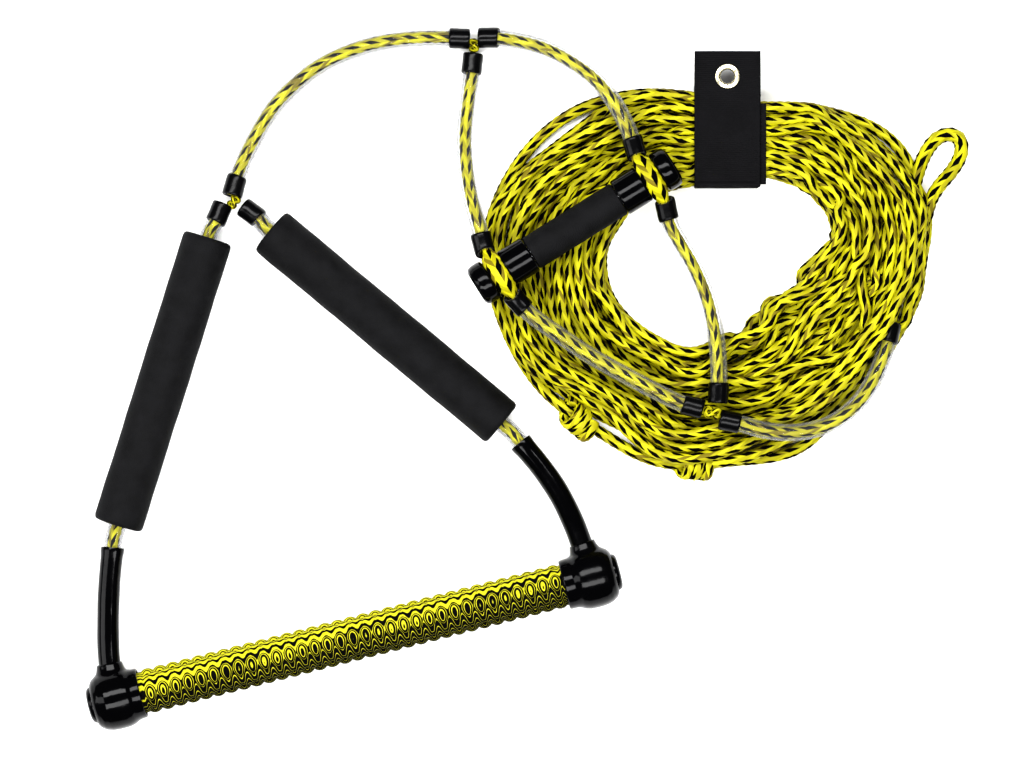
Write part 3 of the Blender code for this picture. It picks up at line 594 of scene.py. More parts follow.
def coil_turns():
    """The centreline of all turns. Each turn keeps a place in the bundle's section and wanders to the next
    turn's place, and discs at each station push one another apart until none overlap."""
    rng = np.random.default_rng(11)
    full = (TURNS + 1) * STATIONS
    count = TURNS * STATIONS + 1 + TAIL
    index = np.arange(full)
    turn = START_TURN + index / STATIONS
    lap = index // STATIONS
    held = lap == EDGE_TURN
    edge = around(COIL_OUTER, turn) + 2.5 - ROPE_R + 1.5 * hump(turn, 216, 40)
    upper_gap = 11.0 * hump(turn, 122, 26)
    rest = edge - upper_gap - 10.0 * hump(turn, 21, 24) - 15.0 * hump(turn, 217, 30)
    inner = around(COIL_INNER, turn) - 1.0 + ROPE_R
    second = np.where(lap == EDGE_TURN + 1, np.maximum(rest, edge - 9.5 - upper_gap), rest)
    outer = np.where(held, edge, second)
    strap = STRAP_ALONG * 32 + (20.0, 49.0)  # where the strap crosses the bundle, from the coil's centre
    strap_turn = math.atan2(strap[1], strap[0]) / math.tau
    away = np.abs((turn - strap_turn + 0.5) % 1.0 - 0.5)
    pinch = smoothstep(1.0 - (away - 0.055) / 0.05)
    low = ROPE_R + 0.2 + 2.2 * pinch
    high = BUNDLE_TOP - STRAP_PINCH * pinch - ROPE_R
    # Each turn's place across the bundle, -1 to 1, and its level, 0 to 1
    across = -0.95 + 1.9 * ((rng.permutation(TURNS + 2) * 0.381966) % 1.0)
    level = rng.uniform(0.0, 1.0, TURNS + 2)
    across[0], level[0] = 0.98, 0.5
    across[EDGE_TURN], level[EDGE_TURN] = 1.0, 0.25
    across[EDGE_TURN + 1], level[EDGE_TURN + 1] = 0.96, 0.4
    across[TURNS - 1:], level[TURNS - 1:] = (0.9, 0.98, 0.98), (0.5, 0.2, 0.2)
    target_u = np.full(full, across[0])
    target_v = np.full(full, level[0])
    for lap_now in range(TURNS + 1):
        width = rng.uniform(0.28, 0.6)
        shift = rng.uniform(-0.22, 0.22)
        if lap_now in (EDGE_TURN - 1, EDGE_TURN, EDGE_TURN + 1):
            width, shift = 0.22, 0.0
        t = smoothstep((index / STATIONS - lap_now - 1 - shift) / width + 0.5)
        target_u += (across[lap_now + 1] - across[lap_now]) * t
        target_v += (level[lap_now + 1] - level[lap_now]) * t
    order = np.argsort(np.argsort(target_u.reshape(TURNS + 1, STATIONS), axis=0), axis=0)
    level_out = (2.0 * (order + 0.5) / (TURNS + 1) - 1.0).reshape(full)
    free = np.abs(lap - EDGE_TURN - 0.5) > 1.0
    target_u = np.where(free, 0.3 * target_u + 0.7 * level_out, target_u)
    sway = sum(
        rng.uniform(0.4, 1.0) * np.sin(turn * math.tau * f + rng.uniform(0, 6.28))
        for f in (0.73, 1.31, 2.17, 3.43, 4.9, 7.3)
    )
    target_u = target_u + np.where(held, 0.0, 0.10 * sway)
    middle, half = (outer + inner) / 2, (outer - inner) / 2
    target = np.stack([middle + target_u * half, low + target_v * (high - low)], axis=1)
    p = target + rng.normal(0, 0.2, target.shape)
    away_now = np.where(index < count, 0.0, 1e4)
    inside = np.clip(-1.0 - 2.5 * target_u, 0.0, 1.0) * hump(turn, 300, 85)
    # The tube that leads to the coil, which pushes the turns aside where it passes
    lead = spline(MAINLINE)
    off = lead[:, :2] - COIL_CENTRE
    lead_turn = np.arctan2(off[:, 1], off[:, 0]) / math.tau % 1.0
    at = turn % 1.0
    passing = (at > lead_turn.min()) & (at < lead_turn.max() - 0.01)
    beside = np.stack([np.interp(at, lead_turn, np.hypot(*off.T)), np.interp(at, lead_turn, lead[:, 2])], 1)
    clear = ROPE_R + TUBE_R + 0.4
    for step in range(STEPS):
        pull = np.where(held, 0.3, 0.035 + 0.16 * inside)
        p[:, 0] += pull * (target[:, 0] - p[:, 0])
        p[:, 1] += 0.02 * (target[:, 1] - p[:, 1]) - 0.10
        if step < SMOOTH_STEPS:
            smooth = p.copy()
            smooth[1:-1] = 0.25 * p[:-2] + 0.5 * p[1:-1] + 0.25 * p[2:]
            p = smooth
        for _ in range(3):
            discs = p.reshape(TURNS + 1, STATIONS, 2) + away_now.reshape(TURNS + 1, STATIONS, 1)
            gap = discs[:, None] - discs[None, :]
            distance = np.sqrt((gap**2).sum(-1)) + np.eye(TURNS + 1)[:, :, None] * 99.0
            overlap = np.clip(2 * ROPE_R - 0.1 - distance, 0, None)
            push = (gap / distance[..., None]) * overlap[..., None] * 0.3
            p += push.sum(1).reshape(full, 2)
            off = p - beside
            reach = np.maximum(np.linalg.norm(off, axis=1), 1e-6)
            close = passing & (reach < clear)
            p[close] += (off / reach[:, None] * (clear - reach)[:, None])[close]
            p[:, 0] = np.clip(p[:, 0], inner, outer)
            p[:, 1] = np.clip(p[:, 1], low, high)
    p, turn = p[:count], turn[:count]
    x = COIL_CENTRE[0] + p[:, 0] * np.cos(turn * math.tau)
    y = COIL_CENTRE[1] + p[:, 0] * np.sin(turn * math.tau)
    return np.stack([x, y, p[:, 1]], axis=1)


def trick_line(groove, upper, lower):
    """The route over a groove, and the distances at which it comes to the bar and leaves it."""
    over = [trick_point(groove, across, up) for across, up in OVER_GROOVE]
    line = Line(spline(list(upper) + over + list(lower)))
    return line, line.near(over[0]), line.near(over[-1])


# ---- Ropes, tubes and sleeves ----


def tube(name, line, start, end, node, body):
    """A clear tube round a rope."""
    made = sweep(name, line, start, end, pipe_profile(end - start, TUBE_R, TUBE_BORE_R), MAT["clear"], 28)
    return settle(made, "clear_pvc", body, node)


def sleeve(name, line, start, node, body):
    """A moulded sleeve, slightly waisted, with rounded rims."""
    profile = [
        (0.0, 6.12), (0.0, 6.5), (0.025, 6.95), (0.075, 7.15), (0.13, SLEEVE_R), (0.3, SLEEVE_R),
        (0.5, SLEEVE_R - 0.1), (0.7, SLEEVE_R), (0.87, SLEEVE_R), (0.925, 7.15), (0.975, 6.95), (1.0, 6.5),
        (1.0, 6.12),
    ]
    made = sweep(name, line, start, start + SLEEVE_LENGTH, profile, MAT["sleeve"], 40)
    return settle(made, "black_gloss", body, node)


def declare(line, start, end):
    """Works out a path point about every 8 mm along a rope's line, which nothing uses."""
    count = max(2, int(round((end - start) / 8.0)) + 1)
    path = line.place(np.linspace(start, end, count))


def build_leader():
    line = Line(spline(LEADER))
    rope = braid("leader_rope_braid", "leader", ["leader_rope"], line, 1.0, line.length - 1.0, twist=0.004,
                 seed=3, offset=lambda distance: np.full_like(distance, 0.7))
    pieces = [
        tube("leader_clear_tube", line, 0.3, line.length - 0.3, "leader_tube", "leader"),
        sleeve("leader_near_sleeve", line, 0.0, "leader_sleeve_near", "leader"),
        sleeve("leader_far_sleeve", line, line.length - SLEEVE_LENGTH, "leader_sleeve_far", "leader"),
        link("splice_upper_loops", "splice_upper", "leader", (182.4, 380.2, 7.5), (0.1, 1, 0), 3.4, 2.2, 1.5),
    ]
    declare(line, 1.0, line.length - 1.0)


def build_trick_rope(side, groove, upper, lower):
    line, into, out = trick_line(groove, upper, lower)

    def flat(distance):
        """Over the groove the rope is wider and thinner."""
        middle = (into + out) / 2
        reach = (out - into) / 2
        near = smoothstep((reach - np.abs(distance - middle)) / 9.0)
        return 1.0 + 0.62 * near, 1.0 - 0.4 * near

    def aside(distance):
        """The rope lies against the inner side of the tubes and comes to the middle over the groove."""
        inward = math.copysign(0.7, line.directions(12.0)[0][0]) * (1 if side == "left" else -1)
        return inward * (1.0 - (flat(distance)[0] - 1.0) / 0.62)

    rope = braid(f"trick_braid_{side}", "trick_ropes", [f"trick_rope_{side}"], line, 0.8, line.length - 0.8,
                 twist=0.002, flat=flat, seed=5 if side == "left" else 6, offset=aside)
    starts = {
        "upper_sleeve": 0.0, "cap_sleeve_upper": into - SLEEVE_LENGTH, "cap_sleeve_lower": out,
        "lower_sleeve": line.length - SLEEVE_LENGTH,
    }
    pieces = [
        sleeve(f"{node}_{side}_shrunk", line, start, f"{node}_{side}", "trick_ropes")
        for node, start in starts.items()
    ]
    for end, start, stop in (("upper", 0.3, into - 0.3), ("lower", out + 0.3, line.length - 0.3)):
        pieces.append(tube(f"branch_{end}_{side}_clear", line, start, stop, f"branch_tube_{end}_{side}",
                           "trick_ropes"))
    if side == "right":
        pieces.append(link("splice_lower_loops", "splice_lower", "trick_ropes", (279.8, 91.0, 39.0),
                           (1, -0.45, 0), 4.6, 2.6, 1.9, 43))
    declare(line, 0.8, line.length - 0.8)


def build_mainline():
    lead = spline(MAINLINE)
    turns = coil_turns()
    route = spline(np.vstack([lead[::6][:-1], turns[1:-2], TOW_LOOP]), 1.5)
    route[:, 2] = np.maximum(route[:, 2], ROPE_R + 0.4)
    line = Line(route)
    end = line.length

    def spliced(distance):
        """Round the tow loop the rope's end runs back inside it, so the rope is thicker there."""
        swell = 1.0 + 0.2 * np.clip((distance - end + 150.0) / 20.0, 0.0, 1.0)
        return swell, swell

    rope = braid("mainline_braid", "mainline", ["mainline_lead", "mainline_coil", "tow_loop"], line, 2.0, end,
                 rows_per_pick=2, twist=0.0035, flat=spliced, seed=9, pick=5.6)
    lead_line = Line(lead)
    stop = lead_line.near(TUBE_END)
    pieces = [
        tube("mainline_clear_tube", lead_line, 0.3, stop - 0.3, "mainline_tube", "mainline"),
        sleeve("mainline_first_sleeve", lead_line, 0.0, "mainline_sleeve", "mainline"),
        sleeve("mainline_last_sleeve", lead_line, stop - SLEEVE_LENGTH, "mainline_end_sleeve", "mainline"),
        wraps("section_knot_wraps", "section_knot", (188.2, 109.4, 8.9), (0.58, -0.81, 0), 8.2, 6.4, 3.0,
              3.3, 1.2, 0.8, 3.8, 0.7),
        wraps("coil_whipping_wraps", "coil_whipping", (258.2, 58.6, 8.7), (1, -0.33, 0), 8.4, 6.4, 3.2,
              3.3, 1.2, 0.75, 3.0, 0.7),
    ]
    declare(line, 2.0, end)


# ---- Solids of revolution, webbing and small helpers ----


def unit(vector):
    vector = np.asarray(vector, float)
    return vector / np.linalg.norm(vector)


def soften(points, radius):
    """A closed outline with its corners rounded. Corners on the axis stay."""
    points = [np.asarray(p, float) for p in points]
    out = []
    for before, here, after in zip([points[-1]] + points[:-1], points, points[1:] + [points[0]]):
        if here[1] <= 1e-6 or radius <= 0:
            out.append(here)
            continue
        one, two = before - here, after - here
        reach = min(radius, np.linalg.norm(one) * 0.45, np.linalg.norm(two) * 0.45)
        a, b = here + unit(one) * reach, here + unit(two) * reach
        for t in np.linspace(0.0, 1.0, 5):
            out.append((1 - t) ** 2 * a + 2 * t * (1 - t) * here + t * t * b)
    return np.array(out)


def turned(name, profile, centre, axis, surface, sides=96, softness=0.5):
    """A closed outline of (along, radius) points turned round an axis."""
    outline = soften(profile, softness)
    axis = unit(axis)
    side = unit(np.cross(axis, (0.0, 0.0, 1.0) if abs(axis[2]) < 0.9 else (1.0, 0.0, 0.0)))
    up = np.cross(side, axis)
    angles = np.linspace(0.0, math.tau, sides, endpoint=False)
    ring = np.cos(angles)[:, None] * side + np.sin(angles)[:, None] * up
    verts = np.asarray(centre) + outline[:, None, :1] * axis + outline[:, None, 1:] * ring[None]
    made = new_object(name, verts, looped_faces(len(outline), sides), [surface])
    point_outward(made, merge=True)
    crisp(made)
    return made


def crisp(made, degrees=38.0):
    """Smooth shading with sharp edges where faces meet at more than an angle."""
    made.data.polygons.foreach_set("use_smooth", np.ones(len(made.data.polygons), bool))
    made.data.set_sharp_from_angle(angle=math.radians(degrees))


def applied(made):
    """The object with its modifiers turned into mesh."""
    graph = bpy.context.evaluated_depsgraph_get()
    mesh = bpy.data.meshes.new_from_object(made.evaluated_get(graph), depsgraph=graph)
    made.modifiers.clear()
    old = made.data
    made.data = mesh
    bpy.data.meshes.remove(old)


def cut(made, other, operation="DIFFERENCE"):
    """The object less another, or joined with it; the other is used up."""
    step = made.modifiers.new("cut", "BOOLEAN")
    step.operation = operation
    step.solver = "EXACT"
    step.object = other
    applied(made)
    bpy.data.objects.remove(other, do_unlink=True)


def moulded(made):
    """One even skin with softened edges, as a moulding has."""
    step = made.modifiers.new("skin", "REMESH")
    step.mode = "VOXEL"
    step.voxel_size = 0.62 * MM
    step.use_smooth_shade = True
    step = made.modifiers.new("ease", "SMOOTH")
    step.factor = 0.5
    step.iterations = 9
    applied(made)
    made.data.polygons.foreach_set("use_smooth", np.ones(len(made.data.polygons), bool))


def settle(made, slot, body, *nodes):
    """The piece stands for CAD nodes and rides on a body. The slot is not used."""
    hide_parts(*nodes)
    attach(made, body)
    return made


def webbing(name, path, width, thick, shift):
    """Woven tape along a path of (along, z) points: ribs across its width, thicker selvedges."""
    step = 0.35
    line = spline([(a, 0.0, z) for a, z in path], step)
    count = len(line)
    ahead = np.gradient(line, axis=0)
    ahead /= np.linalg.norm(ahead, axis=1)[:, None]
    out = np.stack([-ahead[:, 2], ahead[:, 0]], axis=1)
    length = np.arange(count) * step
    ribs = 0.2 * np.cos(length / 1.4 * math.tau)
    across = np.concatenate([[-1.0, -0.985, -0.955], np.linspace(-0.93, 0.93, 19), [0.955, 0.985, 1.0]])
    half = width / 2
    outermost = np.abs(across)
    share = np.where(outermost > 0.99, 0.35, np.where(outermost > 0.98, 0.8, 1.0))
    edge = np.where(outermost > 0.94, 0.1, 0.0)
    weave = 0.05 * np.cos(across * half / 2.5 * math.tau)
    rows = []
    for way in (1, -1):
        lift = way * (thick / 2 - 0.15 + edge + ribs[:, None] * share + weave) * share
        along = line[:, :1] + out[:, :1] * lift
        z = line[:, 2:] + out[:, 1:] * lift
        flat = STRAP_FOLD + along[..., None] * STRAP_ALONG + (across * half + shift)[:, None] * STRAP_RIGHT
        rows.append(np.dstack([flat, z])[:, ::way])
    verts = np.concatenate(rows, axis=1)
    made = new_object(name, verts, capped_faces(count, verts.shape[1]), [MAT["webbing"]])
    point_outward(made)
    crisp(made, 60.0)
    return made


# ---- Main handle ----


def build_grip():
    """Ground laminated foam: eight rows of lens-shaped nubs, staggered, and contour lines where the surface
    cuts through the yellow and black layers."""
    pitch, first, nubs = 9.09, -145.6, 32
    skin_r, base_r, nub, period = 14.6, 13.3, 2.4, 2.6
    x = np.arange(-155.4, 155.41, 0.66)
    sides = 144
    theta = np.arange(sides) / sides * math.tau
    grid_x, grid_t = np.meshgrid(x, theta, indexing="ij")
    turn = np.radians(np.interp(grid_x, [-146, -100, -60, 0, 50, 110, 146], [-4, 1, 4, 5, 6, 9, 16]))
    local = grid_t - turn
    height = np.zeros_like(grid_x)
    for row in range(8):
        off = (local - row * math.tau / 8 + math.pi) % math.tau - math.pi
        v = off * skin_r
        place = (grid_x - first - (row % 2) * pitch / 2) / pitch
        nearest = np.clip(np.round(place), 0, nubs - (row % 2))
        u = (place - nearest) * pitch
        bump = np.clip(1.0 - (u / 4.7) ** 2 - (v / 6.4) ** 2, 0.0, 1.0) ** 0.8
        height = np.maximum(height, bump)
    past = np.maximum(first - grid_x, grid_x - first - nubs * pitch)
    plain = np.clip((past - 3.2) / 1.5, 0, 1)
    tall = height * nub * (1 - plain)
    radius = base_r + tall + plain * 0.9
    verts = np.stack([grid_x, radius * np.sin(grid_t), BAR_Z + radius * np.cos(grid_t)], axis=-1)
    made = new_object("main_grip_eva", verts, capped_faces(len(x), sides), [grip_material()])
    point_outward(made)
    # The layers, seen along the front: the wave of the cuts, the lens of the front row and the bar's curve
    off = (local + math.pi) % math.tau - math.pi
    arc = off * skin_r
    depth = base_r * (1.0 - np.cos(off)) * 1.1
    place = (grid_x - first) / pitch
    u = (place - np.clip(np.round(place), 0, nubs)) * pitch
    lens = np.clip(1.0 - (u / 4.2) ** 2 - (arc / 6.6) ** 2, 0.0, 1.0) ** 0.8
    swing = np.interp(arc, [-10.0, -5.0, 0.0, 5.0, 12.0], [1.1, 0.75, 0.28, 0.34, 0.38])
    wave = swing * np.cos(place * math.tau) * (1 - plain)
    layer = wave + lens * 1.55 * (1 - plain) - depth / period + grid_x / 92.0 + 0.42
    layer += 0.05 * np.sin(grid_x * 0.21 + 1.3) + 0.04 * np.sin(grid_x * 0.083 + grid_t)
    # The yellow share falls from the +y side to the -y side: real yellow and black layers, with painted shade
    # darkening the -y side.
    share = np.interp(arc, [-12.0, -5.0, 0.0, 6.0, 14.0], [0.10, 0.16, 0.31, 0.50, 0.66])
    for key, values in (("layer", layer), ("share", share)):
        data = made.data.attributes.new(key, "FLOAT", "POINT")
        data.data.foreach_set("value", values.astype(np.float32).ravel())
    return settle(made, "grip_eva", "main_handle", "main_grip")


def grip_material():
    """Yellow and black layers: a layer's number runs up through the foam, and share is its yellow part. Share
    is lower towards the -y side of the bar, which paints shade on that side over the real layers.
    """
    m = Nodes("grip_eva_layers", (0.40, 0.38, 0.02), 0.7, Specular_IOR_Level=0.06)
    layer, share = m.tree.nodes.new("ShaderNodeAttribute"), m.tree.nodes.new("ShaderNodeAttribute")
    layer.attribute_name, share.attribute_name = "layer", "share"
    where = m.coords()
    wander = m.noise(where, 240.0, 3.0)
    part = m.maths("FRACT", m.maths("ADD", layer.outputs["Fac"], m.spread(wander, -0.05, 0.05)))
    centred = m.maths("ABSOLUTE", m.maths("SUBTRACT", part, 0.5))
    half = m.maths("MULTIPLY", share.outputs["Fac"], 0.5)
    over = m.maths("SUBTRACT", half, centred)
    fac = m.spread(over, 0.0, 1.0, -0.04, 0.05)
    mottle = m.noise(where, 600.0, 4.0)
    yellow = m.ramp(mottle, [(0.25, GRIP_YELLOW_DARK), (0.7, GRIP_YELLOW)])
    mix = m.tree.nodes.new("ShaderNodeMix")
    mix.data_type = "RGBA"
    m.tree.links.new(fac, mix.inputs["Factor"])
    mix.inputs["A"].default_value = (0.0025, 0.0025, 0.0022, 1.0)
    m.tree.links.new(yellow, mix.inputs["B"])
    m.into("Base Color", mix.outputs["Result"])
    m.into("Roughness", m.spread(mottle, 0.6, 0.85))
    pores = m.add("TexVoronoi", Vector=where, Scale=1500.0).outputs["Distance"]
    m.bump(m.maths("ADD", pores, mottle), 0.35, 0.0003)
    return m.material


def build_cap(side, sign):
    collar = 152.3 if sign < 0 else 150.4
    shell = [
        (collar, 15.95), (collar, 17.0), (collar + 0.9, 17.5), (156.5, 17.6), (158.8, 18.3), (161.5, 19.8),
        (165.0, 20.8), (169.0, 21.0), (173.5, 21.0), (178.0, 20.5), (182.0, 19.2), (185.2, 17.0),
        (187.2, 14.2), (184.9, 13.3), (184.9, 10.0), (181.5, 10.0), (180.0, 14.0), (164.0, 15.0),
        (160.0, 12.5), (156.3, 12.0), (156.2, 15.95),
    ]
    centre = (0, 0, BAR_Z)
    cap = turned(f"cap_{side}_moulding", shell, centre, (sign, 0, 0), MAT["gloss"], 96, 0.3)
    foot = np.array([sign * 170.5, 13.5, BAR_Z])
    rim = np.array([sign * 169.6, 25.6, BAR_Z])
    along = rim - foot
    long = float(np.linalg.norm(along))
    neck = [(0.0, 0.0), (0.0, 15.5), (2.0, 13.6), (4.5, 11.4), (7.5, 9.9), (long - 1.2, 9.1),
            (long, 8.9), (long, 0.0)]
    cut(cap, turned("neck", neck, foot, along, MAT["gloss"], 64, 0.3), "UNION")
    bore = [(-7.0, 0.0), (-7.0, 7.9), (long + 3, 7.9), (long + 3, 0.0)]
    cut(cap, turned("bore", bore, foot, along, MAT["gloss"], 48, 0.0))
    moulded(cap)
    settle(cap, "black_gloss", "main_handle", f"main_cap_{side}")
    plug = [(185.1, 0.0), (185.1, 12.9), (187.6, 12.9), (189.4, 12.0), (190.4, 10.0), (190.5, 7.0),
            (190.4, 4.0), (190.4, 0.0)]
    made = turned(f"plug_{side}_disc", plug, centre, (sign, 0, 0), MAT["gloss"], 96, 0.8)
    settle(made, "black_gloss", "main_handle", f"main_plug_{side}")


def build_leg(side, points):
    line = Line(spline(points))
    sleeve(f"leg_{side}_sleeve", line, 0.0, f"leg_sleeve_{side}", "main_handle")
    top, foot = line.near(GUARD_TOP[side]), line.near(GUARD_FOOT[side])
    tube(f"leg_{side}_clear", line, 0.3, top + (foot - top) / 4, f"leg_tube_{side}", "main_handle")
    outer = [(0.0, 7.3), (0.0, 8.0), (0.012, 8.25), (0.035, 8.15), (0.07, 7.8), (0.12, 7.7)]
    outer += [(s, 7.7 + 0.06 * math.sin(s * 19)) for s in np.linspace(0.16, 0.98, 24)]
    inner = [(1.0, 7.4), (1.0, 6.6)] + [(s, 6.45) for s in np.linspace(0.98, 0.04, 24)] + [(0.01, 6.7)]
    made = sweep(f"guard_{side}_hose", line, top, foot, outer + inner, MAT["gloss"], 48)
    crisp(made)
    settle(made, "black_gloss", "main_handle", f"rope_guard_{side}")
    middle = line.near(FLOAT_MIDDLE[side])
    build_float(side, line.place(middle), unit(line.place(middle - 5) - line.place(middle + 5)))


def build_float(side, centre, ahead):
    """A foam tube with rounded ends and a slightly uneven skin."""
    half = 105.0
    along = np.linspace(-half + 3.2, half - 3.2, 150)
    profile = [(-half, 7.0), (-half, 14.2), (-half + 0.35, 15.7), (-half + 1.2, 16.8)]
    profile += [(a, 17.35) for a in along]
    profile += [(half - 1.2, 16.8), (half - 0.35, 15.7), (half, 14.2), (half, 7.0)]
    profile += [(a, 7.0) for a in along[::-6]]
    made = turned(f"float_{side}_foam", profile, centre, ahead, MAT["foam"], 96, 0.0)
    mesh = made.data
    co = np.zeros(len(mesh.vertices) * 3)
    mesh.vertices.foreach_get("co", co)
    co = co.reshape(-1, 3)
    rel = co - placed(centre)
    a = rel @ ahead
    radial = rel - a[:, None] * ahead
    r = np.linalg.norm(radial, axis=1)
    phi = np.arctan2(radial[:, 2], radial @ np.cross(ahead, (0, 0, 1)))
    seed = 1.0 if side == "left" else 2.7
    dent = (
        0.10 * np.sin(a * 55 + 2 * phi + seed) + 0.08 * np.sin(a * 131 - 3 * phi + seed * 2)
        + 0.05 * np.sin(a * 260 + 5 * phi)
    )
    outside = np.clip((r * 1000 - 12.0) / 4.0, 0, 1)
    co += radial / r[:, None] * (dent * outside * MM)[:, None]
    mesh.vertices.foreach_set("co", co.ravel())
    mesh.update()
    crisp(made, 60)
    settle(made, "black_foam", f"float_{side}", f"float_{side}")


def build_bridle():
    left_turn = [(-x, y, z) for x, y, z in CAP_TURN]
    middle = [(x, 0.0, BAR_Z) for x in (-75.0, 0.0, 75.0)]
    points = LEFT_LEG + left_turn + middle + CAP_TURN[::-1] + RIGHT_LEG[::-1]
    line = Line(spline(points))
    braid("bridle_braid", "main_handle", ["bridle_rope"], line, 1.0, line.length - 1.0, twist=0.003, seed=4)


# ---- Trick handle ----


def build_trick_bar():
    centre = trick_point(0, 0)
    axis = trick_point(1, 0) - centre
    half = 36.0
    grip = [(-half, 6.4), (-half, 11.3), (-half + 0.9, 12.2)]
    grip += [(a, 12.25 + 0.08 * math.cos(a * 0.3)) for a in np.linspace(-half + 3, half - 3, 40)]
    grip += [(half - 0.9, 12.2), (half, 11.3), (half, 6.4)]
    made = turned("trick_grip_foam", grip, centre, axis, MAT["foam"], 96, 0.2)
    settle(made, "black_foam", "trick_bar", "trick_grip")
    for side, sign in (("left", -1), ("right", 1)):
        shell = [
            (36.3, 6.3), (36.3, 12.7), (37.2, 13.3), (54.6, 13.35), (55.9, 12.5), (56.2, 9.0),
            (57.2, 7.3), (62.0, 7.0), (66.8, 7.3), (67.9, 9.2), (68.2, 12.6), (69.4, 14.4), (71.5, 14.75),
            (76.2, 14.75), (78.9, 13.9), (80.4, 11.6), (80.5, 6.0), (80.1, 0.0), (62.4, 0.0), (62.4, 6.3),
        ]
        made = turned(f"trick_end_{side}", shell, centre, axis * sign, MAT["gloss"], 96, 0.7)
        settle(made, "black_gloss", "trick_bar", f"trick_cap_{side}")
    for side, groove in (("left", -GROOVE_MIDDLE), ("right", GROOVE_MIDDLE)):
        angles = np.radians(np.linspace(203, 337, 40))
        points = [trick_point(groove, 9.0 * math.cos(a), 9.0 * math.sin(a)) for a in angles]
        radial = np.array([trick_point(0, math.cos(a), math.sin(a)) - centre for a in angles])
        under = Line(points, radial)
        braid(f"trick_under_{side}", "trick_ropes", [f"trick_eye_{side}"], under, 0.0, under.length, 3.1,
              flat=constant(1.5, 0.45), seed=21)


# ---- Splices, knots and the keeper ----


def constant(wide, thick):
    """A braid's flat function with the same two factors all along."""
    return lambda distance: (np.full_like(distance, wide), np.full_like(distance, thick))


def helix(centre, axis, radius, pitch, turns, lean, start, squash):
    """Wraps round an axis: points and the outward direction at each."""
    axis = unit(axis)
    side = unit(np.cross(axis, (0, 0, 1)))
    up = np.cross(side, axis)
    angle = np.linspace(0, turns * math.tau, int(turns * 40) + 1)
    out = np.cos(angle + start)[:, None] * side + np.sin(angle + start)[:, None] * up * squash
    along = pitch * (angle / math.tau - turns / 2) + lean * np.sin(angle + start + 0.6)
    return np.asarray(centre) + along[:, None] * axis + radius * out, out


def wraps(name, node, centre, axis, radius, pitch, turns, rope, wide, thin, lean, squash):
    """A rope knot's wraps round the outside of the coil."""
    points, out = helix(centre, axis, radius, pitch, turns, lean, 2.4, squash)
    line = Line(points, out)
    return braid(name, "mainline", [node], line, 0.0, line.length, rope, flat=constant(wide, thin), seed=31,
                 pick=4.4, slant=4.6)


def link(name, node, body, centre, axis, long, size, rope, seed=41):
    """Two rope eyes that pass through each other, as one crossed loop."""
    t = np.linspace(0, math.tau, 60)
    axis = unit(axis)
    side = np.cross((0, 0, 1), axis)
    points = (
        np.asarray(centre)
        + (long * np.sin(t))[:, None] * axis
        + (size * np.sin(2 * t))[:, None] * side
        + (size * 0.8 * np.cos(t + 0.4))[:, None] * np.array([0, 0, 1.0])
    )
    line = Line(points)
    return braid(name, body, [node], line, 0.0, line.length, rope, seed=seed, pick=2.2, slant=2.6)


def punch(made, z, reach, radius):
    """The eyelet's hole through a layer of webbing."""
    hole = [(-reach, 0.0), (-reach, radius), (reach, radius), (reach, 0.0)]
    at = strap_point(EYELET_AT, 0, z)
    cut(made, turned("hole", hole, at, (0, 0, 1), MAT["webbing"], 48, 0.0))
    crisp(made, 60)


def build_keeper():
    loop = [
        (-0.2, 26.6), (-0.4, 14.0), (0.0, 3.4), (1.7, 1.25), (5.3, 0.95), (30.0, 0.95), (64.0, 0.95),
        (67.0, 1.5), (69.4, 4.0), (70.0, 12.0), (70.2, 20.0), (71.2, 23.6), (75.0, 25.0), (80.0, 25.1),
        (92.1, 25.1),
    ]
    strap = webbing("keeper_band", loop, BAND_WIDTH, 1.5, 0.0)
    punch(strap, 25.1, 6.0, 9.1)
    settle(strap, "webbing", "mainline", "keeper_strap")
    lap = [(0.9, 27.05), (20.0, 27.1), (40.0, 27.1), (57.0, 27.1)]
    under = webbing("keeper_underlap", lap, 30.0, 0.8, 11.9)
    settle(under, "webbing", "mainline", "keeper_strap")
    over = [(-0.15, 27.05), (0.1, 28.0), (0.9, 28.55), (2.9, 28.7), (30.0, 28.75), (60.0, 28.7),
            (93.4, 28.7)]
    flap = webbing("keeper_front", over, FLAP_WIDTH, 1.5, 0.0)
    punch(flap, FLAP_Z, 3.0, 5.8)
    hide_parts("keeper_flap")
    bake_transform(flap)
    top = FLAP_Z + 0.75
    ring = [
        (top + 0.15, 8.35), (top + 0.55, 8.7), (top + 1.0, 8.25), (top + 1.22, 7.2), (top + 1.2, 6.2),
        (top + 0.9, 5.5), (top + 0.3, 5.0), (top - 0.8, 4.85), (27.1, 4.85), (27.1, 5.2), (top - 0.4, 5.3),
        (top + 0.2, 5.6),
    ]
    at = strap_point(EYELET_AT, 0, 0)
    made = turned("keeper_grommet", ring, at, (0, 0, 1), MAT["steel"], 96, 0.25)
    settle(made, "plated_steel", "keeper_flap", "keeper_eyelet")
    low = FLAP_Z - 1.05
    plate = [(low - 0.6, 5.5), (low - 0.65, 6.4), (low - 0.6, 8.2), (low - 0.2, 8.7), (low, 8.5), (low, 5.5)]
    made = turned("keeper_back_washer", plate, at, (0, 0, 1), MAT["steel"], 72, 0.2)
    settle(made, "plated_steel", "keeper_flap", "keeper_washer")


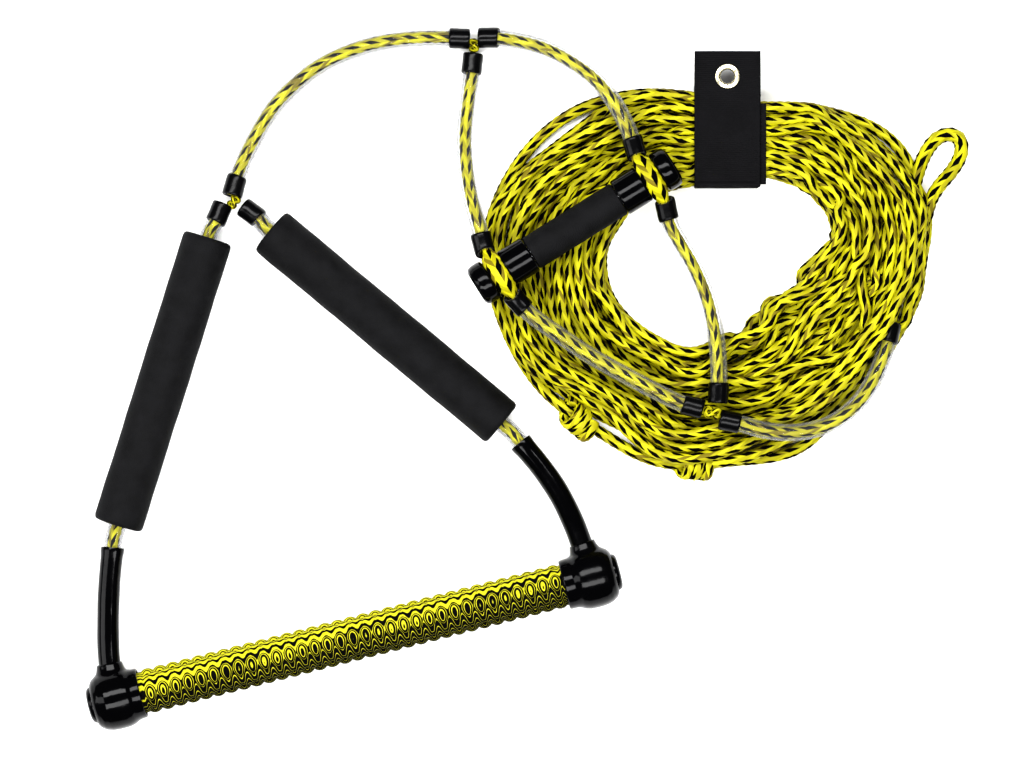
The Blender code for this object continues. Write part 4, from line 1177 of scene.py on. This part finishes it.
def build_hidden():
    """CAD nodes whose shape is right and that only need a finish."""
    for node, surface in (
        ("main_core_tube", MAT["aluminium"]), ("trick_core", MAT["aluminium"]),
        ("keeper_hook", MAT["hook"]), ("keeper_loop", MAT["loop"]),
    ):
        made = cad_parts[node]
        made.data.materials.clear()
        made.data.materials.append(surface)


# ---- Floor and lights ----


def build_studio():
    bpy.ops.mesh.primitive_plane_add(size=14.0, location=(0, 0, -0.0004))
    floor = bpy.context.object
    floor.name = "floor"
    m = Nodes("floor_white", (0.94, 0.94, 0.94), 0.8)
    floor.data.materials.append(m.material)
    world = bpy.data.worlds.new("studio")
    world.use_nodes = True
    background = world.node_tree.nodes["Background"]
    background.inputs["Color"].default_value = (1.0, 1.0, 1.0, 1.0)
    background.inputs["Strength"].default_value = 0.12
    bpy.context.scene.world = world
    bpy.context.scene.view_settings.view_transform = "Standard"
    bpy.context.scene.view_settings.look = "High Contrast"
    middle = placed([145.4, 148.2, 0.0])
    for name, place, size, energy in (
        ("softbox_near", (0.0, -0.62, 1.5), (2.0, 0.5), 31.0),
        ("softbox_far", (0.0, 0.68, 1.5), (2.0, 0.5), 34.0),
        ("softbox_left", (-1.5, 0.2, 1.0), (0.6, 1.4), 12.0),
    ):
        data = bpy.data.lights.new(name, "AREA")
        data.shape = "RECTANGLE"
        data.size, data.size_y = size
        data.energy = energy
        light = bpy.data.objects.new(name, data)
        light.location = (middle[0] + place[0], middle[1] + place[1], place[2])
        aim = Vector((middle[0], middle[1], 0.0)) - light.location
        light.rotation_euler = aim.to_track_quat("-Z", "Y").to_euler()
        bpy.context.scene.collection.objects.link(light)


def main():
    build_leader()
    build_trick_rope("left", -GROOVE_MIDDLE, UPPER_LEFT, LOWER_LEFT)
    build_trick_rope("right", GROOVE_MIDDLE, UPPER_RIGHT, LOWER_RIGHT)
    build_mainline()
    build_grip()
    build_cap("left", -1)
    build_cap("right", 1)
    build_leg("left", LEFT_LEG)
    build_leg("right", RIGHT_LEG)
    build_bridle()
    link("splice_first_loops", "splice_first", "main_handle", (-6.6, 315.4, 14.0), (0.75, 0.65, 0), 3.6,
         2.2, 1.6, 47)
    build_trick_bar()
    build_keeper()
    build_hidden()
    build_studio()


main()
